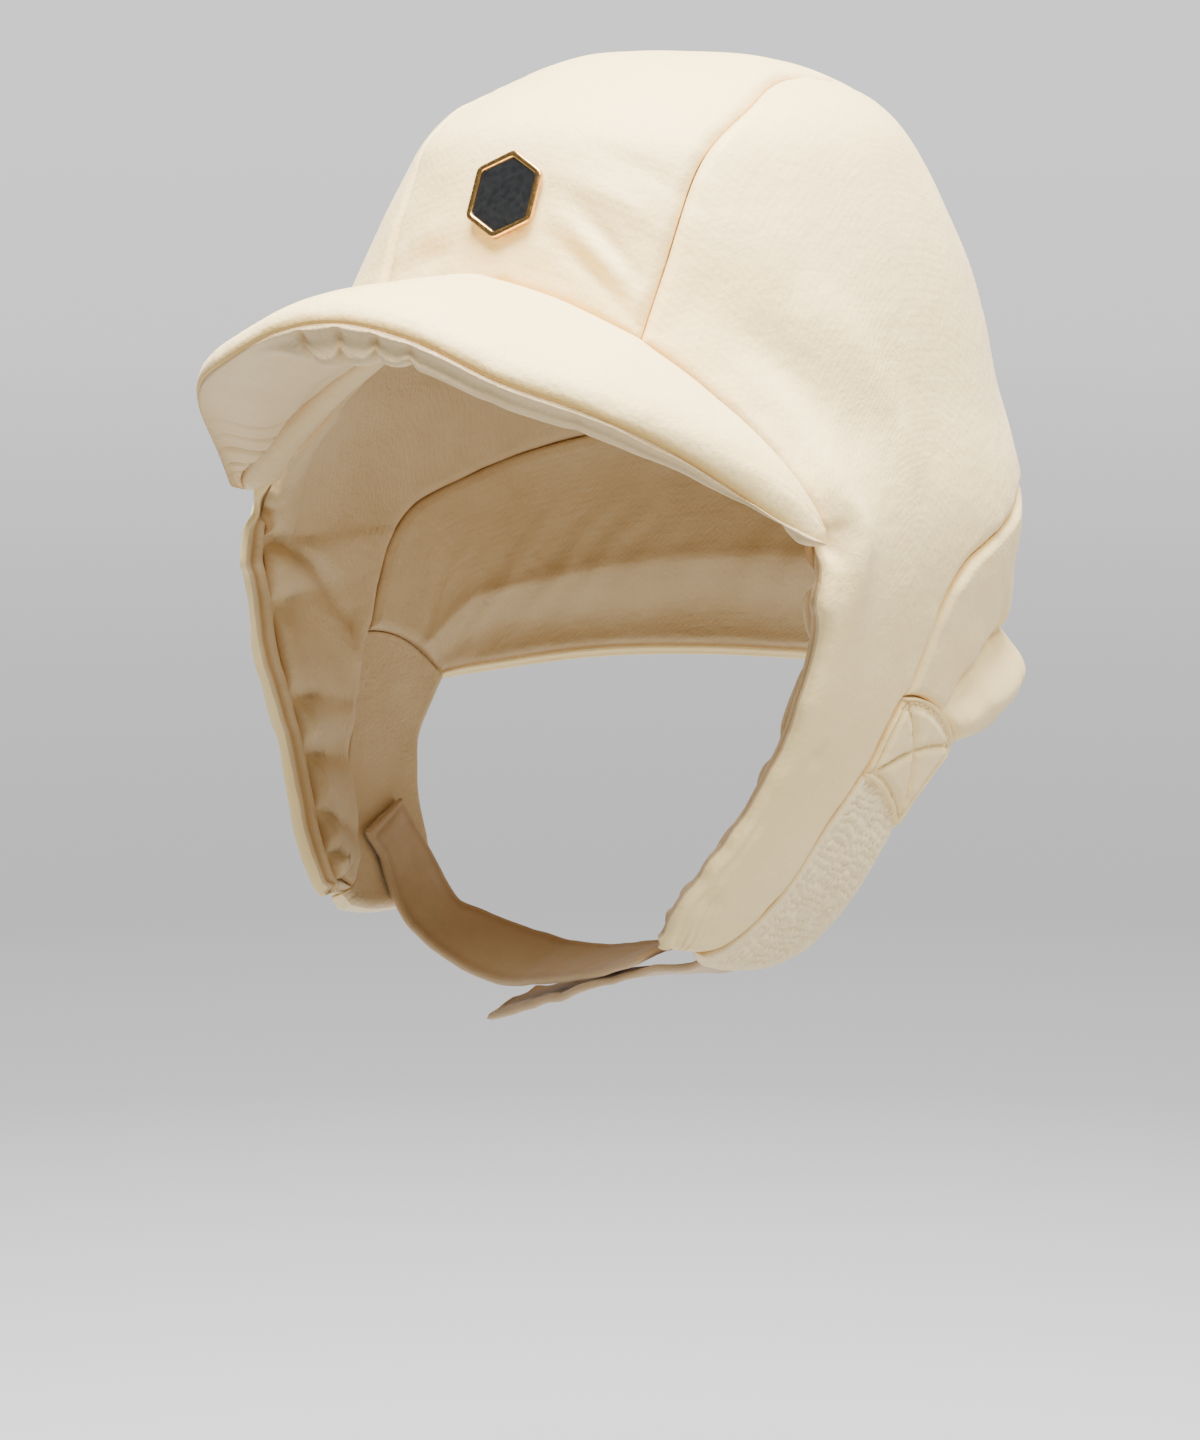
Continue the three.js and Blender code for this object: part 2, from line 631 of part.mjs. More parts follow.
function peakLayers() {
  const edge = peakEdgeLine();
  const faces = { topUpper: [], topLower: [], underUpper: [], underLower: [] };
  borderChart.forEach((point, k) => {
    const out = outward(point);
    const outer = outside(point);
    const away = outer.clone().sub(outside(borderInner[k]));
    away.addScaledVector(out, -away.dot(out)).normalize();
    const start = outer.clone().addScaledVector(away, SEAM_GAP);
    const root = start.clone().addScaledVector(out, -WALL);
    const share = Math.abs((2 * k) / (borderChart.length - 1) - 1);
    const full = mix(1, PEAK_END_TAPER, share ** 4);
    const along = edge[Math.max(k - 1, 0)].clone().sub(edge[Math.min(k + 1, edge.length - 1)]);
    const reach = edge[k].clone().sub(start);
    const under = reach.clone().cross(along).normalize();
    if (under.dot(away) < 0) under.negate();
    under.lerp(away, share ** 6).normalize();
    const columns = { topUpper: [], topLower: [], underUpper: [], underLower: [] };
    const add = (place, inwards, top, lower) => {
      const at = (distance) => place.clone().addScaledVector(inwards, distance);
      columns.topUpper.push(at(0));
      columns.topLower.push(at(top));
      columns.underUpper.push(at(top + LAYER_GAP));
      columns.underLower.push(at(top + LAYER_GAP + lower));
    };
    add(root, away, PEAK_TOP * full * 0.8, PEAK_UNDER * full * 0.6);
    for (let r = 0; r <= PEAK_STEPS; r += 1) {
      const t = r / PEAK_STEPS;
      const bow = PEAK_CROWN * full * (1 - (2 * t - 1) ** 4);
      const place = start.clone().addScaledVector(reach, t).addScaledVector(under, -bow);
      const inwards = away.clone().lerp(under, Math.min(1, 2.5 * t)).normalize();
      const tip = r === PEAK_STEPS ? PEAK_TIP : 1;
      add(place, inwards, PEAK_TOP * full * tip, PEAK_UNDER * full * tip);
    }
    for (const name of Object.keys(faces)) faces[name].push(columns[name]);
  });
  return {
    top: closedGrid(faces.topUpper, faces.topLower),
    under: closedGrid(faces.underUpper, faces.underLower),
  };
}

// A flat strap with square ends. side is 1 for the wearer's left tape panel, -1 for the right.
function strapGeometry(side, turn, route, width) {
  const under = SEAM_DIP + TAPE_WALL + STRAP_SEAT + STRAP / 2;
  const stations = [];
  const acrosses = [];
  for (const depth of STRAP_SEAT_DEPTHS) {
    const point = chartPoint(turn, depth);
    const place = outside(point).addScaledVector(outward(point), -under);
    const rearward = outside(chartPoint(turn + 1, depth)).sub(outside(point)).normalize();
    stations.push(place.multiply(new THREE.Vector3(side, 1, 1)));
    acrosses.push(rearward.multiply(new THREE.Vector3(side, 1, 1)));
  }
  for (const row of route) {
    const lean = radians(row.lean);
    stations.push(
      new THREE.Vector3(
        row.across * HALF_WIDTH,
        -row.ahead * FRONT_REACH,
        WALL - row.depth * HOOD_HEIGHT,
      ),
    );
    acrosses.push(new THREE.Vector3(0, Math.cos(lean), Math.sin(lean)));
  }
  const marks = stations.map((station, i) => i);
  const turning = ["x", "y", "z"].map((axis) =>
    smooth(
      marks,
      acrosses.map((across) => across[axis]),
    ),
  );
  const curve = new THREE.CatmullRomCurve3(stations, false, "centripetal");
  const steps = STRAP_STEPS * (stations.length - 1);
  const upper = [];
  const lower = [];
  for (let k = 0; k <= steps; k += 1) {
    const t = k / steps;
    const place = curve.getPoint(t);
    const ahead = curve.getTangent(t);
    const across = new THREE.Vector3(...turning.map((at) => at(t * (stations.length - 1))));
    across.addScaledVector(ahead, -across.dot(ahead)).normalize();
    const up = across.clone().cross(ahead).multiplyScalar(side).normalize();
    const edgeAt = (over, height) =>
      place.clone().addScaledVector(across, (over * width) / 2).addScaledVector(up, height);
    const thin = (over) => (Math.abs(over) === 1 ? STRAP_EDGE : 1);
    upper.push(STRAP_COLUMNS.map((over) => edgeAt(over, (STRAP / 2) * thin(over))));
    lower.push(STRAP_COLUMNS.map((over) => edgeAt(over, (-STRAP / 2) * thin(over))));
  }
  return closedGrid(upper, lower);
}

// Badge: a plain upright six-sided plate in a raised rim, lying on the forehead.
const BADGE_CHART = { x: -0.044, y: -0.966 }; // shares of FRONT_REACH
const SHOULDER = 0.55; // height of the side corners as a share of the half height
const BADGE_LIFT = 0.7; // rim's back off the crown's seam-to-seam surface

function badgeOutline(inset) {
  const w = BADGE_WIDTH / 2 - inset;
  const h = BADGE_HEIGHT / 2 - inset * 1.2;
  const s = SHOULDER * (BADGE_HEIGHT / 2) - inset * 0.5;
  return [
    [0, -h],
    [w, -s],
    [w, s],
    [0, h],
    [-w, s],
    [-w, -s],
  ].map(([x, y]) => new THREE.Vector2(x, y));
}

function plate(shape, depth) {
  const geometry = new THREE.ExtrudeGeometry(shape, { depth, bevelEnabled: false, steps: 1 });
  geometry.deleteAttribute("normal");
  geometry.deleteAttribute("uv");
  return faced(mergeVertices(geometry, 1e-4));
}

function badgeGroup() {
  const point = [BADGE_CHART.x * FRONT_REACH, BADGE_CHART.y * FRONT_REACH];
  const out = outward(point);
  const up = new THREE.Vector3(0, 0, 1).addScaledVector(out, -out.z).normalize();
  const side = up.clone().cross(out);
  const rim = new THREE.Shape(badgeOutline(0));
  rim.holes.push(new THREE.Path(badgeOutline(BADGE_RIM).reverse()));
  const enamel = new THREE.Shape(badgeOutline(BADGE_RIM + BADGE_GAP));
  const group = new THREE.Group();
  group.add(named("badge_rim", plate(rim, BADGE_DEPTH), GOLD));
  group.add(named("badge_enamel", plate(enamel, BADGE_DEPTH - ENAMEL_DROP), ENAMEL));
  group.position.copy(outside(point).addScaledVector(out, BADGE_LIFT));
  group.setRotationFromMatrix(new THREE.Matrix4().makeBasis(side, up, out));
  return group;
}

// Materials
const fabric = (color, roughness) =>
  new THREE.MeshStandardMaterial({ color, roughness, metalness: 0 });
const SHELL_FABRIC = fabric(0xf3e6cf, 0.72);
const LINING_FABRIC = fabric(0xead9ba, 0.6);
const TAPE_FABRIC = fabric(0xefe0c6, 0.9);
const STRAP_FABRIC = fabric(0xe6d3b2, 0.8);
const GOLD = new THREE.MeshStandardMaterial({ color: 0xd8a860, roughness: 0.3, metalness: 1 });
const ENAMEL = new THREE.MeshStandardMaterial({ color: 0x16181a, roughness: 0.25, metalness: 0 });

function named(name, geometry, material) {
  const mesh = new THREE.Mesh(geometry, material);
  mesh.name = name;
  return mesh;
}

// The geometry of the wearer's left turned into that of the right.
function acrossCentre(geometry) {
  const other = geometry.clone();
  other.scale(-1, 1, 1);
  return faced(other);
}

const cap = new THREE.Group();

function addPair(name, geometry, material) {
  cap.add(named(name + "_left", geometry, material));
  cap.add(named(name + "_right", acrossCentre(geometry), material));
}

cap.add(named("crown_centre", padded(centreChart, allSunk, centreSeams), SHELL_FABRIC));
addPair("side_panel", padded(sideChart, sideSinks, centreSeams), SHELL_FABRIC);
cap.add(named("neck_panel", padded(neckChart, neckSinks, centreSeams, neckSwell), SHELL_FABRIC));
cap.add(named("lining_centre", lined(centreChart, centreSeams), LINING_FABRIC));
addPair("lining_side", lined(sideChart, sideLiningBack), LINING_FABRIC);
cap.add(named("lining_neck", lined(neckChart, neckLiningBack, neckSwell), LINING_FABRIC));
addPair("tape_panel", tapeGeometry(), TAPE_FABRIC);
addPair("cross_patch", patchGeometry(), TAPE_FABRIC);
const peak = peakLayers();
cap.add(named("peak_top", peak.top, SHELL_FABRIC));
cap.add(named("peak_underside", peak.under, LINING_FABRIC));
const strapRight = strapGeometry(-1, STRAP_RIGHT_TURN, STRAP_RIGHT_ROUTE, STRAP_RIGHT_WIDTH);
const strapLeft = strapGeometry(1, STRAP_LEFT_TURN, STRAP_LEFT_ROUTE, STRAP_LEFT_WIDTH);
cap.add(named("chin_strap_right", strapRight, STRAP_FABRIC));
cap.add(named("chin_strap_left", strapLeft, STRAP_FABRIC));
cap.add(badgeGroup());

export default cap;
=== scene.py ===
import math

import bpy
import numpy as np
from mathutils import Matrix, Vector


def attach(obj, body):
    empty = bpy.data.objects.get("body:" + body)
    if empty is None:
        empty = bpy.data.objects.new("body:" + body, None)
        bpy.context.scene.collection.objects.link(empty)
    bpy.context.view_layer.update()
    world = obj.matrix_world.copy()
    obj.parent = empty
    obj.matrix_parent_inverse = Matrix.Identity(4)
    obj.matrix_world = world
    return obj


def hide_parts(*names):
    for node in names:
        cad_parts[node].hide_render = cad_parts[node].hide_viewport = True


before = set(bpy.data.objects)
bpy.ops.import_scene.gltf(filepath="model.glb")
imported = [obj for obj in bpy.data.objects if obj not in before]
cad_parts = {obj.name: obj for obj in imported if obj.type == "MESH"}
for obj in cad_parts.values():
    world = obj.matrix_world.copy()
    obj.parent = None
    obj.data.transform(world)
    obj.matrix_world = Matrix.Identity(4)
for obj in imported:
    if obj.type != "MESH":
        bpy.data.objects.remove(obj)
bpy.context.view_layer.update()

MM = 0.001

# Overall sizes
HOOD_HEIGHT = 275 * MM  # crown top down to the lowest section
HALF_WIDTH = 107.5 * MM  # centre plane to the outside over the ear
FRONT_REACH = 104.5 * MM  # axis to the outside at the forehead
BACK_REACH = 112.5 * MM  # axis to the outside at the back of the head
PEAK_REACH = 79 * MM  # forehead seam to the peak's front edge

# Walls and seams
PAD = 8 * MM  # padded outer layer
LINING = 1.8 * MM
LAYER_GAP = 0.4 * MM
WALL = PAD + LAYER_GAP + LINING
SEAM_IN = 0.25 * MM  # each panel kept back from a seam's line
SEAM_DIP = 2.4 * MM  # how far the padding sinks at a seam
SEAM_ROUND = 4.8 * MM  # how far from the seam it starts to sink
EDGE_ROLL = 4.6 * MM  # how far in the padding rolls at a free edge
EDGE_RIDGE = 1.2 * MM  # inner ridge of that roll, beside the lining's seam
EDGE_RIDGE_IN = 2.5 * MM
EDGE_SEAM = 0.9 * MM  # depth of the seam between the roll and that ridge
EDGE_SEAM_IN = 1.1 * MM
LINING_INSET = 3.6 * MM  # lining's seam behind a free edge
TAPE_WALL = 6 * MM
TAPE_DROP = 1.2 * MM  # loop tape's face below the flap's
TAPE_BINDING = 2.2 * MM  # plain binding along its free edges
PATCH = 1.6 * MM
PATCH_LENGTH = 27 * MM
PEAK_TOP = 3.6 * MM
PEAK_UNDER = 8 * MM
PEAK_CROWN = 5 * MM
STRAP = 2.4 * MM
STRAP_SEAT = 0.7 * MM
STRAP_LEFT_WIDTH = 25 * MM
STRAP_RIGHT_WIDTH = 29 * MM
BADGE_WIDTH = 23 * MM
BADGE_HEIGHT = 28 * MM
BADGE_RIM = 2 * MM
BADGE_DEPTH = 2.2 * MM
ENAMEL_DROP = 0.5 * MM
BADGE_LIFT = 0.7 * MM


def table(columns, *rows):
    """A table's columns by name."""
    return dict(zip(columns.split(), np.array(rows, float).T))


def rows_of(columns):
    """The same table, row by row."""
    return zip(*columns.values())


# Level sections of the outside: depth is a share of HOOD_HEIGHT, width of HALF_WIDTH, front of
# FRONT_REACH and back of BACK_REACH; the squareness columns are superellipse powers.
SECTIONS = table(
    "depth width front back front_square back_square",
    (0.0, 0.0, 0.0, 0.0, 2.0, 2.0),
    (0.0084, 0.256, 0.252, 0.329, 2.1, 2.1),
    (0.0305, 0.419, 0.423, 0.528, 2.2, 2.1),
    (0.0763, 0.6, 0.68, 0.69, 2.3, 2.1),
    (0.1527, 0.722, 0.799, 0.832, 2.4, 2.1),
    (0.2481, 0.82, 0.894, 0.93, 2.5, 2.1),
    (0.3626, 0.902, 1.0, 0.972, 3.0, 2.1),
    (0.5153, 1.0, 1.307, 1.0, 4.6, 2.2),
    (0.6298, 0.98, 1.367, 0.925, 4.0, 2.3),
    (0.7252, 0.937, 1.337, 0.907, 3.2, 2.4),
    (0.8206, 0.873, 1.307, 0.86, 2.8, 2.4),
    (0.8664, 0.834, 1.312, 0.822, 2.65, 2.4),
    (0.9389, 0.741, 1.307, 0.766, 2.6, 2.4),
    (1.0, 0.644, 1.307, 0.71, 2.6, 2.4),
)

# Lines on the outside: turn is degrees round from the forehead, depth a share of HOOD_HEIGHT.
LINE = "turn depth"
FOREHEAD = table(LINE, (0, 0.2294), (12.8, 0.2454), (20.6, 0.2618), (27.6, 0.2809))
BROW = table(LINE, (27.6, 0.2809), (37, 0.3271), (45.2, 0.3817), (49.6, 0.4305), (52.8, 0.486))
CHEEK = table(
    LINE,
    (52.8, 0.486), (52, 0.5466), (51.5, 0.6179), (49.3, 0.6828),
    (44.7, 0.7718), (38.1, 0.8443), (33.4, 0.8901), (32.3, 0.928),
)
NAPE_BACK = table(LINE, (168, 0.444), (174, 0.443), (180, 0.442))
NAPE_SIDE = table(
    LINE,
    (168, 0.444), (145, 0.456), (120, 0.487), (106, 0.5134), (97.8, 0.5275),
    (90, 0.5443), (83.5, 0.579), (79.3, 0.6229), (76, 0.663), (73.9, 0.6775),
)
TAPE_SEAM = table(
    LINE,
    (73.9, 0.6775), (70.1, 0.7076), (66.4, 0.75), (59, 0.808),
    (52.7, 0.8714), (47.3, 0.9088), (42, 0.932), (37.6, 0.938),
)
TAPE_REAR = table(
    LINE,
    (95.2, 0.7546), (83.6, 0.8118), (78.1, 0.8615), (72.8, 0.9252), (65.2, 0.9664),
    (59.3, 0.977), (53.1, 0.98), (44, 0.97), (38.5, 0.955),
)
NECK_HEM = table(LINE, (95.2, 0.7546), (115, 0.757), (140, 0.752), (180, 0.745))

# Crown seam: along runs from the forehead corner to the nape corner, half is the centre panel's
# half width there as a share of that between the corners.
CROWN_SEAM = table(
    "along half",
    (0, 1), (0.07, 0.99), (0.19, 0.915), (0.3, 0.93), (0.37, 0.885),
    (0.44, 0.83), (0.55, 0.8), (0.7, 0.82), (0.85, 0.9), (1, 1),
)

# Neck panel's swell down its height: out is a share of PAD, gathers of NECK_GATHER.
NECK_SWELL = table(
    "down out gathers",
    (0, 0, 0), (0.25, -0.19, 0.2), (0.5, -0.38, 0.7), (0.625, -0.62, 1), (0.8, 0.62, 0.6), (1, 0, 0),
)
NECK_GATHER = 1.2 * MM
NECK_INNER = 0.5  # share of the swell that the inner side takes part in

# Peak's front edge: across is a share of HALF_WIDTH, ahead of PEAK_REACH, drop of HOOD_HEIGHT.
PEAK_EDGE = table(
    "across ahead drop",
    (0, 1, 0.006), (0.22, 0.975, 0.02), (0.45, 0.89, 0.059), (0.64, 0.71, 0.092),
    (0.775, 0.49, 0.132), (0.89, 0.18, 0.193), (0.985, -0.135, 0.2585),
)
PEAK_END_TAPER = 0.72
PEAK_CORNER = 0.05  # share of the half length over which each end is rounded off
PEAK_TIP = 0.03  # the same over which its layers close
PEAK_ROOT_TIP = 0.06  # the same for its hold on the hood's wall

# Soft folds in the padding, from (x0, y0) to (x1, y1) on the flat chart, with a half breadth, all
# shares of BACK_REACH, and a height, of PAD.
FOLDS = table(
    "x0 y0 x1 y1 breadth height",
    (0.72, -0.95, 1.35, -0.72, 0.08, -0.3),
    (0.86, -0.66, 1.5, -0.42, 0.1, 0.27),
    (0.21, -0.89, 0.5, -0.99, 0.026, -0.18),
    (0.17, -0.935, 0.53, -1.04, 0.03, 0.19),
    (0.12, -0.98, 0.55, -1.09, 0.024, -0.18),
    (0.11, -0.82, 0.52, -0.84, 0.035, 0.17),
    (0.2, -0.72, 0.5, -0.72, 0.03, -0.12),
    (-0.45, -1.02, -0.2, -1.03, 0.026, -0.12),
    (-0.48, -0.95, -0.24, -0.95, 0.035, 0.1),
    (-0.55, -0.55, -0.3, -0.75, 0.07, 0.15),
)

# Chin strap routes: across is a share of HALF_WIDTH, ahead of FRONT_REACH, depth of HOOD_HEIGHT,
# and lean is the strap's tilt in degrees, front edge down.
ROUTE = "across ahead depth lean"
STRAP_SEAT_DEPTHS = (0.885, 0.93)
STRAP_RIGHT_TURN = 59.5
STRAP_RIGHT_ROUTE = table(
    ROUTE,
    (-0.515, 0.475, 0.974, 4), (-0.396, 0.462, 0.998, 15), (-0.272, 0.459, 1.01, 19),
    (-0.138, 0.478, 1.012, 15), (0.025, 0.51, 1.002, 10), (0.197, 0.55, 0.985, 4),
    (0.366, 0.585, 0.962, 0),
)
STRAP_LEFT_TURN = 56.5
STRAP_LEFT_ROUTE = table(
    ROUTE,
    (0.5, 0.565, 0.975, -12), (0.355, 0.575, 0.987, -9), (0.205, 0.575, 1.004, -4),
    (0.058, 0.563, 1.025, 2), (-0.077, 0.545, 1.044, 6), (-0.204, 0.526, 1.06, 10),
)

BADGE_PLACE = np.array([-0.044, -0.966]) * FRONT_REACH  # on the flat chart


# Camera: degrees round from the front and above level, metres, and millimetres of lens and sensor
CAMERA_AZIMUTH = 33
CAMERA_ELEVATION = 11
CAMERA_DISTANCE = 1.3965
CAMERA_TARGET = Vector((-0.0176, -0.0114, -0.1983))
CAMERA_LENS = 110.83
CAMERA_SENSOR = 36


def add_camera():
    azimuth = math.radians(CAMERA_AZIMUTH)
    level = math.cos(math.radians(CAMERA_ELEVATION))
    rise = math.sin(math.radians(CAMERA_ELEVATION))
    back = Vector((math.sin(azimuth) * level, -math.cos(azimuth) * level, rise))
    data = bpy.data.cameras.new("camera")
    data.lens = CAMERA_LENS
    data.sensor_width = CAMERA_SENSOR
    camera = bpy.data.objects.new("camera", data)
    camera.location = CAMERA_TARGET + back * CAMERA_DISTANCE
    camera.rotation_euler = (-back).to_track_quat("-Z", "Y").to_euler()
    bpy.context.collection.objects.link(camera)
    bpy.context.scene.camera = camera


add_camera()


# Curves
def profile(xs, ys, start_slope=None):
    """A smooth function through a table's values."""
    xs, ys = np.asarray(xs, float), np.asarray(ys, float)
    gaps = np.diff(xs)
    rise = np.diff(ys) / gaps
    inner = (rise[:-1] * gaps[1:] + rise[1:] * gaps[:-1]) / (gaps[:-1] + gaps[1:])
    first = rise[0] if start_slope is None else start_slope
    slopes = np.concatenate([[first], inner, [rise[-1]]])

    def at(q):
        x = np.clip(q, xs[0], xs[-1])
        i = np.clip(np.searchsorted(xs, x, side="right") - 1, 0, len(xs) - 2)
        h = xs[i + 1] - xs[i]
        t = (x - xs[i]) / h
        start = (2 * t**3 - 3 * t**2 + 1) * ys[i] + (t**3 - 2 * t**2 + t) * h * slopes[i]
        return start + (3 * t**2 - 2 * t**3) * ys[i + 1] + (t**3 - t**2) * h * slopes[i + 1]

    return at


def lengths_along(points):
    """Distance travelled along each row of points, starting from 0."""
    steps = np.linalg.norm(np.diff(points, axis=-2), axis=-1)
    return np.concatenate([np.zeros(steps.shape[:-1] + (1,)), np.cumsum(steps, -1)], -1)


def unit(vectors):
    return vectors / np.maximum(np.linalg.norm(vectors, axis=-1, keepdims=True), 1e-12)


def on_line(points, way, at):
    """Places at distances `at` along a line whose points lie at distances `way`."""
    return np.stack([np.interp(at, way, column) for column in points.T], -1)


def pick(line, shares):
    """Points at shares of a line's steps."""
    return on_line(line, np.arange(len(line)), np.asarray(shares) * (len(line) - 1))


def curve_through(points, power=0.5):
    """A smooth curve through points, as a function of the share of their steps."""
    points = np.asarray(points, float)
    gaps = np.linalg.norm(np.diff(points, axis=0), axis=1) ** power
    knots = np.concatenate([[0], np.cumsum(gaps)])
    parts = [profile(knots, points[:, k]) for k in range(points.shape[1])]

    def at(share):
        place = np.interp(np.asarray(share) * (len(knots) - 1), np.arange(len(knots)), knots)
        return np.stack([part(place) for part in parts], -1)

    return at


# The outside surface over a flat chart: a chart point's bearing is its turn from the forehead and
# its distance from the middle is the run down from the crown top.
depths = SECTIONS["depth"] * HOOD_HEIGHT
fronts = SECTIONS["front"] * FRONT_REACH
backs = SECTIONS["back"] * BACK_REACH
runs = np.concatenate([[0], np.cumsum(np.hypot(np.diff(depths), np.diff(fronts + backs) / 2))])
depth_at = profile(runs, depths, 0)
width_at = profile(runs, SECTIONS["width"] * HALF_WIDTH)
front_at = profile(runs, fronts)
back_at = profile(runs, backs)
front_square_at = profile(runs, SECTIONS["front_square"])
back_square_at = profile(runs, SECTIONS["back_square"])


def outside(chart):
    x, y = chart[..., 0], chart[..., 1]
    run = np.maximum(np.hypot(x, y), 1e-9)
    side, back = x / run, y / run
    ahead = back < 0
    reach = np.where(ahead, front_at(run), back_at(run))
    power = np.where(ahead, front_square_at(run), back_square_at(run))
    total = np.abs(side / width_at(run)) ** power + np.abs(back / reach) ** power
    radius = total ** (-1 / power)
    return np.stack([radius * side, radius * back, WALL - depth_at(run)], -1)


CHART_STEP = 0.5 * MM


def outward(chart):
    along_x = outside(chart + [CHART_STEP, 0]) - outside(chart - [CHART_STEP, 0])
    along_y = outside(chart + [0, CHART_STEP]) - outside(chart - [0, CHART_STEP])
    return unit(np.cross(along_x, along_y))


FINE_RUNS = np.linspace(0, runs[-1], 4000)
FINE_DEPTHS = depth_at(FINE_RUNS)


def chart_point(turn, depth):
    run = np.interp(np.asarray(depth) * HOOD_HEIGHT, FINE_DEPTHS, FINE_RUNS)
    bearing = np.radians(turn)
    return np.stack([run * np.sin(bearing), -run * np.cos(bearing)], -1)


def spaced(chart, steps):
    """The same line on the chart, in even steps along the surface."""
    way = lengths_along(outside(chart))
    return on_line(chart, way, np.linspace(0, way[-1], steps + 1))


def chart_line(rows, steps):
    marks = np.arange(len(rows["turn"]))
    fine = np.linspace(0, marks[-1], marks[-1] * 40 + 1)
    points = chart_point(profile(marks, rows["turn"])(fine), profile(marks, rows["depth"])(fine))
    return spaced(points, steps)


def mirrored(line):
    return line * [-1, 1]


def joined(*lines):
    return np.concatenate([lines[0]] + [line[1:] for line in lines[1:]])


# Panel borders, wearer's left. Each SHARE is a border's number of parts in the lines it is joined into.
BORDER_FINE = 24  # steps in each part
CENTRE_SHARE, BROW_SHARE, CHEEK_SHARE, NAPE_SHARE, TAPE_SHARE = 5, 6, 12, 7, 11
forehead_half = chart_line(FOREHEAD, CENTRE_SHARE * BORDER_FINE)
nape_half = chart_line(NAPE_BACK, CENTRE_SHARE * BORDER_FINE)[::-1]
brow = chart_line(BROW, BROW_SHARE * BORDER_FINE)
cheek = chart_line(CHEEK, CHEEK_SHARE * BORDER_FINE)
nape_side = chart_line(NAPE_SIDE, NAPE_SHARE * BORDER_FINE)
tape_seam = chart_line(TAPE_SEAM, TAPE_SHARE * BORDER_FINE)
tape_rear = chart_line(TAPE_REAR, TAPE_SHARE * BORDER_FINE)
hem_half = chart_line(NECK_HEM, (NAPE_SHARE + CENTRE_SHARE) * BORDER_FINE)


def crown_seam_line():
    t = np.linspace(0, 1, 400)[:, None]
    line = forehead_half[-1] * (1 - t) + nape_half[-1] * t
    line[:, 0] *= profile(CROWN_SEAM["along"], CROWN_SEAM["half"])(t[:, 0])
    return spaced(line, 400)


crown_seam = crown_seam_line()
forehead = joined(mirrored(forehead_half)[::-1], forehead_half)
nape = joined(mirrored(nape_half)[::-1], nape_half)
neck_top = joined(nape_side[::-1], nape_half[::-1], mirrored(nape_half), mirrored(nape_side))
neck_bottom = joined(hem_half, mirrored(hem_half)[::-1])
band_top = np.stack([tape_seam[0], tape_rear[0]])

# Each panel's borders: near, far, left, right. near and far run the same way, and so do the others.
CENTRE = (forehead, nape, mirrored(crown_seam), crown_seam)
SIDE = (
    crown_seam,
    np.stack([cheek[-1], tape_seam[-1]]),
    joined(brow, cheek),
    joined(nape_side, tape_seam),
)
NECK = (neck_top, neck_bottom, band_top, mirrored(band_top))
TAPE = (band_top, np.stack([tape_seam[-1], tape_rear[-1]]), tape_seam, tape_rear)


def patch(borders, us, vs):
    """Chart points between four borders, at shares us from near to far and vs from left to right."""
    near, far, left, right = borders
    u, v = us[:, None, None], vs[None, :, None]
    first = near[0] * (1 - v) + near[-1] * v
    last = far[0] * (1 - v) + far[-1] * v
    blend = pick(near, vs)[None] * (1 - u) + pick(far, vs)[None] * u
    blend = blend + pick(left, us)[:, None] * (1 - v) + pick(right, us)[:, None] * v
    return blend - (first * (1 - u) + last * u)


# Distances from a border at which a panel's rows of points start
EDGE_MARKS = np.array([0, 0.3, 0.7, 1.2, 1.8, 2.5, 3.3, 4.2, 5.2]) * MM


def marks_along(length, count, start, end):
    """Distances along a line: `count` steps, closer together near both ends."""
    span = length - start - end
    ends = EDGE_MARKS * min(1, span / (3 * EDGE_MARKS[-1]))
    middle = np.linspace(ends[-1], span - ends[-1], count - 2 * len(ends) + 3)
    return start + np.concatenate([ends[:-1], middle, span - ends[-2::-1]])


def respaced(chart, count, start, end):
    """Each row of a chart grid again, at marks along it."""
    ways = lengths_along(outside(chart))
    starts = np.broadcast_to(start, len(chart))
    rows = [
        on_line(points, way, marks_along(way[-1], count, first, end))
        for points, way, first in zip(chart, ways, starts)
    ]
    return np.array(rows)


class Panel:
    """A panel's points on the outside surface, with their distances to its four borders."""

    def __init__(self, borders, rows, columns, near=0, far=0, left=0, right=0):
        shares = np.linspace(0, 1, 260)
        inset = left if callable(left) else lambda share: left + 0 * share
        chart = respaced(patch(borders, shares, shares), columns, inset(shares), right)
        turned = respaced(chart.transpose(1, 0, 2), rows, near, far)
        self.chart = turned.transpose(1, 0, 2)
        self.base = outside(self.chart)
        self.normal = outward(self.chart)
        across = lengths_along(self.base)
        along = lengths_along(self.base.transpose(1, 0, 2)).T
        across = across + inset(along[:, :1] / along[-1, 0])
        self.across, self.along = across, along + near
        self.left, self.right = across, across[:, -1:] - across + right
        self.near, self.far = along + near, along[-1:] - along + far

    def faces(self, upper, lower, side=1):
        """Both faces of a layer between two heights, mirrored where side is -1."""
        return [(self.base + self.normal * height[..., None]) * [side, 1, 1] for height in (upper, lower)]


# Relief
LATTICE = 32


def noise(points, size, seed):
    """Smooth random values from -1 to 1 that change over about `size`."""
    values = np.random.default_rng(seed).uniform(-1, 1, (LATTICE,) * 3)
    scaled = points / size
    cell = np.floor(scaled).astype(int)
    t = scaled - cell
    t = t**3 * (t * (6 * t - 15) + 10)
    total = 0
    for corner in np.ndindex(2, 2, 2):
        weight = np.prod(np.where(corner, t, 1 - t), axis=-1)
        i, j, k = np.moveaxis((cell + corner) % LATTICE, -1, 0)
        total = total + weight * values[i, j, k]
    return total


def strip_noise(along, away, size, stretch, seed):
    """Noise in bands that run away from a line: `along` it they repeat over about `size`."""
    return noise(np.stack([along, away / stretch, 0 * along], -1), size, seed)


